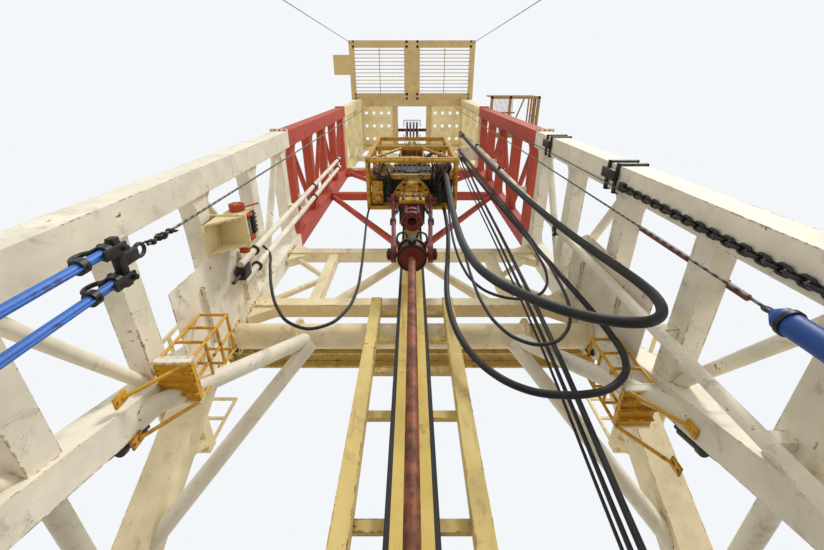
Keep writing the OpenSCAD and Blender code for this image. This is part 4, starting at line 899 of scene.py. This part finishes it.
def build_crown_gear():
    """Lips, stiffeners and bolts under the crown, and guards over its sheaves."""
    low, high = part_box("crown_platform")
    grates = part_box("crown_gratings")
    lips, under = Shape((0, 0, low.z)), -0.012
    for y in (low.y, grates[0].y - 0.02, grates[1].y - 0.1, high.y - 0.14):
        lips.block((-3.3, y, under), (3.3, y + 0.12, 0))
    for x in (-3.32, -0.36, 0.24, 3.2):
        lips.block((x, low.y, under), (x + 0.12, high.y, 0))
    for x in (-2.2, -1.3, 1.3, 2.2):
        lips.block((x, low.y + 0.12, -0.008), (x + 0.012, grates[0].y, 0.004))
    spots = [(x, low.y + 0.1 + 0.32 * k) for x in (-3.26, 3.26) for k in range(9)]
    for x, y in spots + [(-2.8 + 0.4 * k, high.y - 0.08) for k in range(15)]:
        lips.bolt((x, y, under), DOWN, 0.022)
    lips.piece("crown_lips", "tan_steel", "rig")

    low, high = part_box("crown_shaft")
    axle_z = middle("crown_shaft").z
    guards = Shape((0, 0, axle_z))
    for _ in guards.both():
        guards.ring((high.x, 0, 0), OUTWARD, 0.0, 0.13, 0.05, 32)
        guards.bolts((high.x + 0.05, 0, 0), OUTWARD, 0.09, 6, 0.014)
    for y in (-0.56, 0.56):
        guards.rod((-0.5, y, 0.1), (0.5, y, 0.1), 0.02)
        for x in (-0.5, 0.5):
            guards.rod((x, y, 0.1), (x, y * 0.4, low.z - axle_z), 0.02)
    guards.piece("crown_guards", "dark_steel", "rig")


def build_floor_gear():
    """Seams and bolts of the drill floor, the rotary's bushing, and pins along the substructure."""
    seams, half, rise, end_x, end_y = Shape((0, 0, FLOOR_Z)), 0.006, 0.002, 5.3, 5.9
    for x in (-3.0, -1.5, 1.5, 3.0):
        seams.block((x - half, -end_y, -rise), (x + half, end_y, rise))
    for y in (-4.0, -2.0, 2.0, 4.0):
        seams.block((-end_x, y - half, -rise), (end_x, y + half, rise))
    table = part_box("rotary_table")[1].z - FLOOR_Z
    seams.ring((0, 0, table), UP, 0.14, 0.27, 0.03, 64)
    seams.bolts((0, 0, table), UP, 0.56, 16, 0.02)
    seams.bolts((0, 0, table + 0.03), UP, 0.205, 4, 0.024)
    for x, y in ((0.4 * math.cos(a), 0.4 * math.sin(a)) for a in turns(4, 0.5)):
        seams.rod((x, y, table), (x, y, table + 0.05), 0.035, sides=24)
    seams.piece("floor_fittings", "dark_steel", "rig")

    pins = Shape()
    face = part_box("substructure_outer_right")[0].x
    for _ in pins.both():
        for y in (-5.8, -1.0, 1.0, 5.8):
            for z in (0.2, FLOOR_Z - 0.3):
                pins.ring((face, y, z), INWARD, 0.0, 0.09, 0.03, 28)
                pins.bolts((face - 0.03, y, z), INWARD, 0.06, 4, 0.014)
    for _ in pins.both():
        for x, y in ((MAST_IN + CHORD / 2, MAST_FRONT + CHORD / 2), (3.4, 4.35)):
            for dx, dy in ((-0.15, -0.08), (-0.15, 0.33), (0.07, -0.24), (-0.07, -0.24)):
                pins.bolt((x + dx, y + dy, FEET_Z), UP, 0.028)
    pins.piece("substructure_pins", "dark_steel", "rig")


def build_racking_board():
    """The open frame on the right of the mast where a crew member stands: joists, bars and rails."""
    low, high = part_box("racking_board")
    foot, height = low.z + 0.16, high.z - low.z - 0.16
    board = Shape((0, 0, foot))
    for y in (low.y, -1.1, high.y - 0.1):
        board.block((low.x, y, -0.14), (high.x, y + 0.1, 0), 0.006)
    for x in (low.x, 3.95, high.x - 0.1):
        board.block((x, low.y, -0.14), (x + 0.1, high.y, 0), 0.006)
    for x in (4.72, 4.84, 4.96):
        board.block((x, low.y + 0.05, -0.1), (x + 0.045, high.y - 0.05, -0.03))
    for k in range(17):
        x = low.x + 0.11 + 0.05 * k
        board.block((x, low.y + 0.1, -0.04), (x + 0.008, high.y - 0.1, 0))
    board.rod((4.05, high.y - 0.1, -0.07), (4.55, low.y + 0.1, -0.07), 0.03)
    # Struts down to the mast
    for y in (low.y + 0.62, high.y - 0.06):
        board.rod((low.x + 1.0, y, -0.1), (low.x + 0.02, y, -0.14), 0.03)
    left, right, front, rear = low.x + 0.03, high.x - 0.03, low.y + 0.03, high.y - 0.03
    board.fence([(left, front), (4.2, front), (right, front), (right, (low.y + high.y) / 2),
                 (right, rear), (4.2, rear), (left, rear)], 0, height - 0.025, 0.025, (0.35, 0.68))
    board.block((low.x + 1.05, low.y, 0), (high.x, low.y + 0.012, 0.12))
    board.block((high.x - 0.012, low.y, 0), (high.x, high.y, 0.12))
    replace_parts(board.piece("racking_frame", "rail_brown", "rig", "yellow_steel"), "racking_board")


def build_tong_heads():
    """The hanging tong's blue tubes with their clamp heads, shackle and wire clips, and the spinner's.
    """
    low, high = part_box("hanging_tong")
    x, y, _ = middle("hanging_tong")
    origin = Vector((x, y, high.z - 0.41))
    foot, top = low.z - origin.z, 0.41
    tubes = Shape(origin)
    for dy in (-0.12, 0.12):
        tubes.rod((0, dy, foot), (0, dy, 0.02), 0.034, sides=32)
        tubes.rod((0.04, dy, foot + 0.02), (0.04, dy, -0.25), 0.009, sides=12)
    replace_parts(tubes.piece("tong_tubes", "tong_blue", "rig"), "hanging_tong")

    heads = Shape(origin)
    for dy in (-0.12, 0.12):
        for z in (foot - 0.01, -0.32, -0.08):
            heads.ring((0, dy, z), UP, 0.033, 0.056, 0.06, 32)
        # Fork over the tube's end, with its pin
        for dx in (-0.07, 0.045):
            heads.block((dx, dy - 0.04, -0.14), (dx + 0.025, dy + 0.04, 0.1), 0.01)
        heads.rod((-0.1, dy, 0.05), (0.1, dy, 0.05), 0.022)
        heads.bolt((-0.1, dy, 0.05), INWARD, 0.024)
        half_turn = [math.pi * k / 12 for k in range(13)]
        heads.tube([(-0.09 - 0.06 * math.sin(a), dy, -0.14 + 0.09 * math.cos(a)) for a in half_turn],
                   0.018, 10)
        for z in (-0.29, -0.05):
            heads.bolt((0.055, dy, z), OUTWARD, 0.014)
    heads.block((-0.035, -0.2, 0.01), (0.035, 0.2, 0.09), 0.015)
    heads.block((-0.03, -0.05, 0.07), (0.03, 0.05, top - 0.16), 0.012)
    heads.eye((0, 0, top - 0.12), (0, 0.05, 0), 0.065, 0.016, 24, 10)
    # Wire clips above the shackle, nuts to either side in turn
    for k in range(4):
        z = top + 0.04 + 0.09 * k
        heads.block((-0.028, -0.022, z), (0.028, 0.022, z + 0.045), 0.008)
        heads.side = 1 if k % 2 else -1
        for rise in (0.008, 0.036):
            heads.bolt((0.028, 0, z + rise), OUTWARD, 0.012)
            heads.rod((0.028, 0, z + rise), (0.07, 0, z + rise), 0.007, sides=12)
    heads.piece("tong_heads", "dark_steel", "rig")

    low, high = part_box("hanging_spinner")
    x, y, _ = middle("hanging_spinner")
    rings = Shape((x, y, low.z))
    for z in (0, 0.3, 0.72):
        rings.ring((0, 0, z), UP, 0.085, 0.1, 0.035)
    rings.ring((0, 0, -0.05), UP, 0.0, 0.06, 0.05, 28)
    rings.eye((0, 0, high.z - low.z + 0.035), (0.03, 0, 0), 0.045, 0.011)
    rings.piece("spinner_rings", "dark_steel", "rig")


def build_winch_gear():
    """Drum flanges, motor, bracket and line of the small winch on the left side."""
    low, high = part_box("winch")
    axle = Vector((0.25 - MAST_IN, low.y, low.z + 0.23))
    rear, top, under = high.y - low.y, high.z - axle.z, -0.23
    gear = Shape(axle)
    for y in (0.05, rear - 0.09):
        gear.ring((0, y, 0), (0, 1, 0), 0.13, 0.2, 0.03)
    gear.ring((0, 0, 0), FORWARD, 0.0, 0.11, 0.1, 32)
    gear.bolts((0, -0.1, 0), FORWARD, 0.08, 6, 0.012)
    gear.rod((0, rear, 0), (0, rear + 0.16, 0), 0.08, sides=28)
    gear.rod((0.1, -0.05, 0), (0.24, -0.05, 0.22), 0.014)
    gear.piece("winch_drum_ends", "winch_orange", "rig", "link_red")

    motor = Shape(axle).block((-0.14, 0.06, top - 0.02), (0.14, rear - 0.06, top + 0.12), 0.03)
    for k in range(5):
        y = 0.12 + 0.065 * k
        motor.block((-0.15, y, top), (0.15, y + 0.02, top + 0.13), 0.004)
    motor.eye((0, 0.16, top + 0.14), (0, 0.05, 0), 0.04, 0.012)
    motor.piece("winch_motor", "dark_steel", "rig")

    bracket = Shape(axle)
    wall, edge = -0.25, high.x - 0.03 - axle.x
    for y in (0.02, rear - 0.06):
        bracket.prism([(wall, under - 0.42), (wall, under), (edge, under)], 1, y, y + 0.03)
    bracket.block((wall, 0.02, under - 0.44), (wall + 0.03, rear - 0.02, under), 0.004)
    for drop in (0.36, 0.12):
        for y in (0.1, rear - 0.1):
            bracket.bolt((wall + 0.03, y, under - drop), OUTWARD, 0.018)
    bracket.piece("winch_bracket", "cream_steel", "rig")

    windings, drum = 9, 0.143
    pitch = (rear - 0.22) / (math.tau * windings)
    line = Shape(axle).tube([(drum * math.cos(a), 0.1 + pitch * a, drum * math.sin(a))
                             for a in [math.tau * k / 24 for k in range(windings * 24 + 1)]], 0.012, 8)
    line.piece("winch_line", "wire_rope", "rig")


def build_pipe_fittings():
    """Unions, flanges and clamps on the standpipe, the rail pipes and the hose ends."""
    unions = Shape()
    x, y = MAST_IN - 0.13, -0.3
    unions.ring((x, y, FLOOR_Z + 0.02), UP, 0.065, 0.14, 0.04)
    unions.bolts((x, y, FLOOR_Z + 0.06), UP, 0.11, 8, 0.016)
    union_levels, flange_levels = (7.4, 13.2, 18.6, 23.4), (12.6, 17.2, 21.2)
    for z in union_levels:
        unions.union(x, y, z, 0.066)
    unions.union(BRACKET_X, HOSE_Y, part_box("standpipes")[1].z - 0.378, 0.066)
    x = 0.12 - MAST_IN
    for z in flange_levels:
        for y in (-0.15, 0.15):
            unions.ring((x, y, z), UP, 0.056, 0.09, 0.04, 32)
            unions.bolts((x, y, z + 0.04), UP, 0.073, 6, 0.01)
    # Sheave block and pin at the foot of the left pipes
    foot = FEET_Z + 7.1
    unions.block((x - 0.06, -0.11, foot), (x + 0.06, 0.11, foot + 0.3), 0.02)
    unions.rod((x - 0.08, 0, foot + 0.05), (x + 0.08, 0, foot + 0.05), 0.07, sides=28)
    unions.rod((x, 0, foot), (x, 0, foot - 0.3), 0.028)
    unions.piece("pipe_unions", "dark_steel", "rig")

    ends = Shape()
    ends.union(NECK_X, HOSE_Y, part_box("gooseneck")[0].z + 0.42, 0.08)
    ends.ring((NECK_X, HOSE_Y, 19.9), UP, 0.0585, 0.085, 0.22, 32)
    ends.piece("neck_union", "dark_steel", "hoist")

    clamps = Shape()
    for x, y, z, radius in ((BRACKET_X, HOSE_Y, 23.9, 0.0585), (BRACKET_X, SERVICE_Y, 23.95, 0.046),
                            (2.1, 0.06, 24.0, 0.0235), (2.04, -0.07, 24.0, 0.0235)):
        for dz in (0.0, 0.08, 0.16):
            clamps.ring((x, y, z + dz), UP, radius, radius + 0.018, 0.05, 28)
    clamps.piece("hose_clamps", "dark_steel", "rig")


# Nodes whose paint has aged away from that of their slot
AGED = {"beam_yellow": ("guide_beam",),
        "faded_yellow": ("guide_columns", "rear_walkway"),
        "cream_steel": ("winch",),
        "ivory_steel": ("main_girt", "back_bracing_lower", "a_frame_left", "a_frame_right"),
        "oily_yellow": ("top_drive_guard", "top_drive_motors", "travelling_block", "bail"),
        "link_red": ("pipe_handler", "elevator")}


def dress_frame():
    """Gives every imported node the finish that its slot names, or the aged form of it."""
    finishes = {part["node"]: part["material_slot"] for part in frame["record"]["subparts"]}
    finishes.update({node: finish for finish, nodes in AGED.items() for node in nodes})
    for name, piece in frame["nodes"].items():
        piece.data.materials.clear()
        piece.data.materials.append(MATERIALS[finishes[name]])


class RIG_OT_finishes(bpy.types.Operator):
    """Make the rig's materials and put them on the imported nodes"""

    bl_idname = "rig.finishes"
    bl_label = "Finishes"

    def execute(self, context):
        make_materials(context.scene.rig_paint)
        dress_frame()
        return {"FINISHED"}


class RIG_OT_hoses(bpy.types.Operator):
    """Hang the hoses of the top drive and the supply hoses"""

    bl_idname = "rig.hoses"
    bl_label = "Hoses"

    def execute(self, context):
        build_hoses()
        return {"FINISHED"}


class RIG_OT_lines(bpy.types.Operator):
    """Reeve the drilling lines between the block and the crown"""

    bl_idname = "rig.lines"
    bl_label = "Drilling lines"

    def execute(self, context):
        build_drilling_lines()
        return {"FINISHED"}


class RIG_OT_top_drive(bpy.types.Operator):
    """Fit out the top drive, its cage and its pipe handler"""

    bl_idname = "rig.top_drive"
    bl_label = "Top drive"

    def execute(self, context):
        build_flange_ring()
        build_handler_gear()
        build_cage_gear()
        build_cage_hoses()
        build_drive_casings()
        build_block_gear()
        return {"FINISHED"}


class RIG_OT_mast_gear(bpy.types.Operator):
    """Bolt, pin and strap the mast and its bracing"""

    bl_idname = "rig.mast_gear"
    bl_label = "Mast gear"

    def execute(self, context):
        build_girt_ends()
        build_mast_joints()
        build_leg_gear()
        build_leg_baskets()
        build_knee_plates()
        build_racking_board()
        build_crown_gear()
        build_floor_gear()
        build_pipe_fittings()
        return {"FINISHED"}


class RIG_OT_hanging_gear(bpy.types.Operator):
    """Finish the tong, the spinner and the small winch"""

    bl_idname = "rig.hanging_gear"
    bl_label = "Hanging gear"

    def execute(self, context):
        build_tong_heads()
        build_winch_gear()
        return {"FINISHED"}


class RIG_OT_stage(bpy.types.Operator):
    """Make the camera, the lights and the pale floor"""

    bl_idname = "rig.stage"
    bl_label = "Stage"

    def execute(self, context):
        scene = context.scene
        settings = scene.rig_view
        camera = bpy.data.objects.new("camera", bpy.data.cameras.new("camera"))
        scene.collection.objects.link(camera)
        camera.location = settings.eye
        camera.rotation_euler = (math.radians(90) + settings.look_up, 0.0, 0.0)
        camera.data.lens = settings.lens
        camera.data.sensor_width = 36.0
        camera.data.clip_start, camera.data.clip_end = 0.05, 500.0
        scene.camera = camera

        sun = bpy.data.objects.new("sun", bpy.data.lights.new("sun", "SUN"))
        scene.collection.objects.link(sun)
        sun.data.energy = settings.sun
        sun.data.angle = math.radians(12)
        sun.rotation_euler = (math.radians(48), 0.0, math.radians(35))

        floor = bpy.data.objects.new("floor", bpy.data.meshes.new("floor"))
        shape = bmesh.new()
        bmesh.ops.create_grid(shape, x_segments=1, y_segments=1, size=250.0)
        shape.to_mesh(floor.data)
        shape.free()
        floor.location.z = -0.002
        scene.collection.objects.link(floor)
        ground, add = new_material("pale floor")
        finish_surface(add, {"Base Color": linear("#E6E4E0"), "Roughness": 0.9})
        floor.data.materials.append(ground)

        # The sky shows at full strength to the eye and in gloss, and lights the rig a little less
        world = bpy.data.worlds.new("studio")
        scene.world = world
        world.use_nodes = True
        world.node_tree.nodes.clear()
        add = partial(add_node, world.node_tree)
        rays = add("LightPath").outputs
        seen = add("Math", {0: rays["Is Camera Ray"], 1: rays["Is Glossy Ray"]}, operation="MAXIMUM")
        seen = add("Math", {0: seen, 1: rays["Is Transmission Ray"]}, operation="MAXIMUM")
        strength = add("MapRange", {"Value": seen, "To Min": settings.sky, "To Max": 1.0})
        add("OutputWorld", {"Surface": add("Background", {"Color": linear("#F4F7FA"),
                                                          "Strength": strength})})
        scene.view_settings.view_transform = "Standard"
        return {"FINISHED"}


class RigPaint(bpy.types.PropertyGroup):
    """Colours of the rig's paints."""

    # The white enamel is drawn cream: the warmth is a painted warm bounce light from the ground
    white: paint_property("White", "Enamel of the lower mast and its pipes", "#EBE2CC")
    cream: paint_property("Cream", "Enamel of the upper mast", "#E8D6A2")
    ivory: paint_property("Ivory", "Enamel of the girts and rear legs", "#EAD9B0")
    red: paint_property("Red", "Primer of the middle mast", "#B5452C")
    tan: paint_property("Tan", "Enamel of the crown", "#C9AE78")
    grey: paint_property("Grey", "Enamel of the substructure", "#A8A296")
    yellow: paint_property("Yellow", "Enamel of the rails and baskets", "#D8A21C")
    faded: paint_property("Faded yellow", "Enamel of the guide columns", "#DDC37A")
    beam: paint_property("Beam yellow", "Enamel of the guide beam", "#DDBF66")
    rails: paint_property("Rusted rails", "Enamel of the racking board", "#A5824E")
    oily: paint_property("Oily yellow", "Enamel of the top drive", "#C29022")
    orange: paint_property("Orange", "Enamel of the small winch", "#B84A1E")
    sheaves: paint_property("Dark red", "Enamel of sheaves and rotary", "#6E2A22")
    links: paint_property("Link red", "Enamel of the links and elevator", "#6E201A")
    drive: paint_property("Charcoal", "Enamel of the gearbox", "#3A3733")
    tong: paint_property("Bright blue", "Enamel of the hanging tong", "#2C6BC0")
    spinner: paint_property("Deep blue", "Enamel of the hanging spinner", "#0E4796")


class RigGear(bpy.types.PropertyGroup):
    """Sizes of the gear that hangs on the frame."""

    rotary_hose: size_property("Rotary hose", "Outer diameter of the mud hose", 0.115)
    service_hose: size_property("Service hose", "Outer diameter of the service hose", 0.09)
    control_hose: size_property("Control hose", "Outer diameter of the two control hoses", 0.045)
    left_hose: size_property("Left hose", "Outer diameter of the hose on the left", 0.05)
    line_radius: size_property("Line radius", "Half the thickness of the drilling line", 0.016)
    chain_wire: size_property("Chain wire", "Half the thickness of the chain's links", 0.017)
    basket_floor: size_property("Basket floor", "Height of the leg baskets' decks", 9.8)
    basket_reach: size_property("Basket reach", "How far the leg baskets stand out", 0.42)
    basket_height: size_property("Basket rails", "Height of the leg baskets' top rails", 0.92)
    rail_tube: size_property("Rail tube", "Half the thickness of the leg baskets' rails", 0.02)


class RigView(bpy.types.PropertyGroup):
    """Where the viewer stands and how the studio is lit."""

    eye: bpy.props.FloatVectorProperty(
        name="Eye", description="Camera position, at head height on the drill floor",
        default=(0.0, -2.8, 6.2), subtype="XYZ", unit="LENGTH")
    look_up: bpy.props.FloatProperty(
        name="Look up", description="Angle of the view above the horizon",
        default=math.radians(64.0), subtype="ANGLE")
    lens: bpy.props.FloatProperty(
        name="Lens", description="Focal length in millimetres on a 36 mm wide sensor",
        default=17.5, unit="CAMERA")
    sky: bpy.props.FloatProperty(
        name="Sky", description="Strength of the soft light from all round", default=0.85)
    sun: bpy.props.FloatProperty(
        name="Sun", description="Strength of the key light", default=2.0)


class RIG_PT_panel(bpy.types.Panel):
    """The rig's operators in the sidebar"""

    bl_label = "Drilling rig"
    bl_space_type = "VIEW_3D"
    bl_region_type = "UI"
    bl_category = "Rig"

    def draw(self, context):
        for kind in OPERATORS:
            self.layout.operator(kind.bl_idname)


OPERATORS = (RIG_OT_stage, RIG_OT_finishes, RIG_OT_hoses, RIG_OT_lines, RIG_OT_top_drive,
             RIG_OT_mast_gear, RIG_OT_hanging_gear)
CLASSES = (RigView, RigPaint, RigGear, *OPERATORS, RIG_PT_panel)


def register():
    for kind in CLASSES:
        bpy.utils.register_class(kind)
    bpy.types.Scene.rig_view = bpy.props.PointerProperty(type=RigView)
    bpy.types.Scene.rig_paint = bpy.props.PointerProperty(type=RigPaint)
    bpy.types.Scene.rig_gear = bpy.props.PointerProperty(type=RigGear)


def unregister():
    del bpy.types.Scene.rig_gear
    del bpy.types.Scene.rig_paint
    del bpy.types.Scene.rig_view
    for kind in reversed(CLASSES):
        bpy.utils.unregister_class(kind)


def main():
    register()
    for kind in OPERATORS:
        group, name = kind.bl_idname.split(".")
        getattr(getattr(bpy.ops, group), name)()


if __name__ == "__main__":
    main()
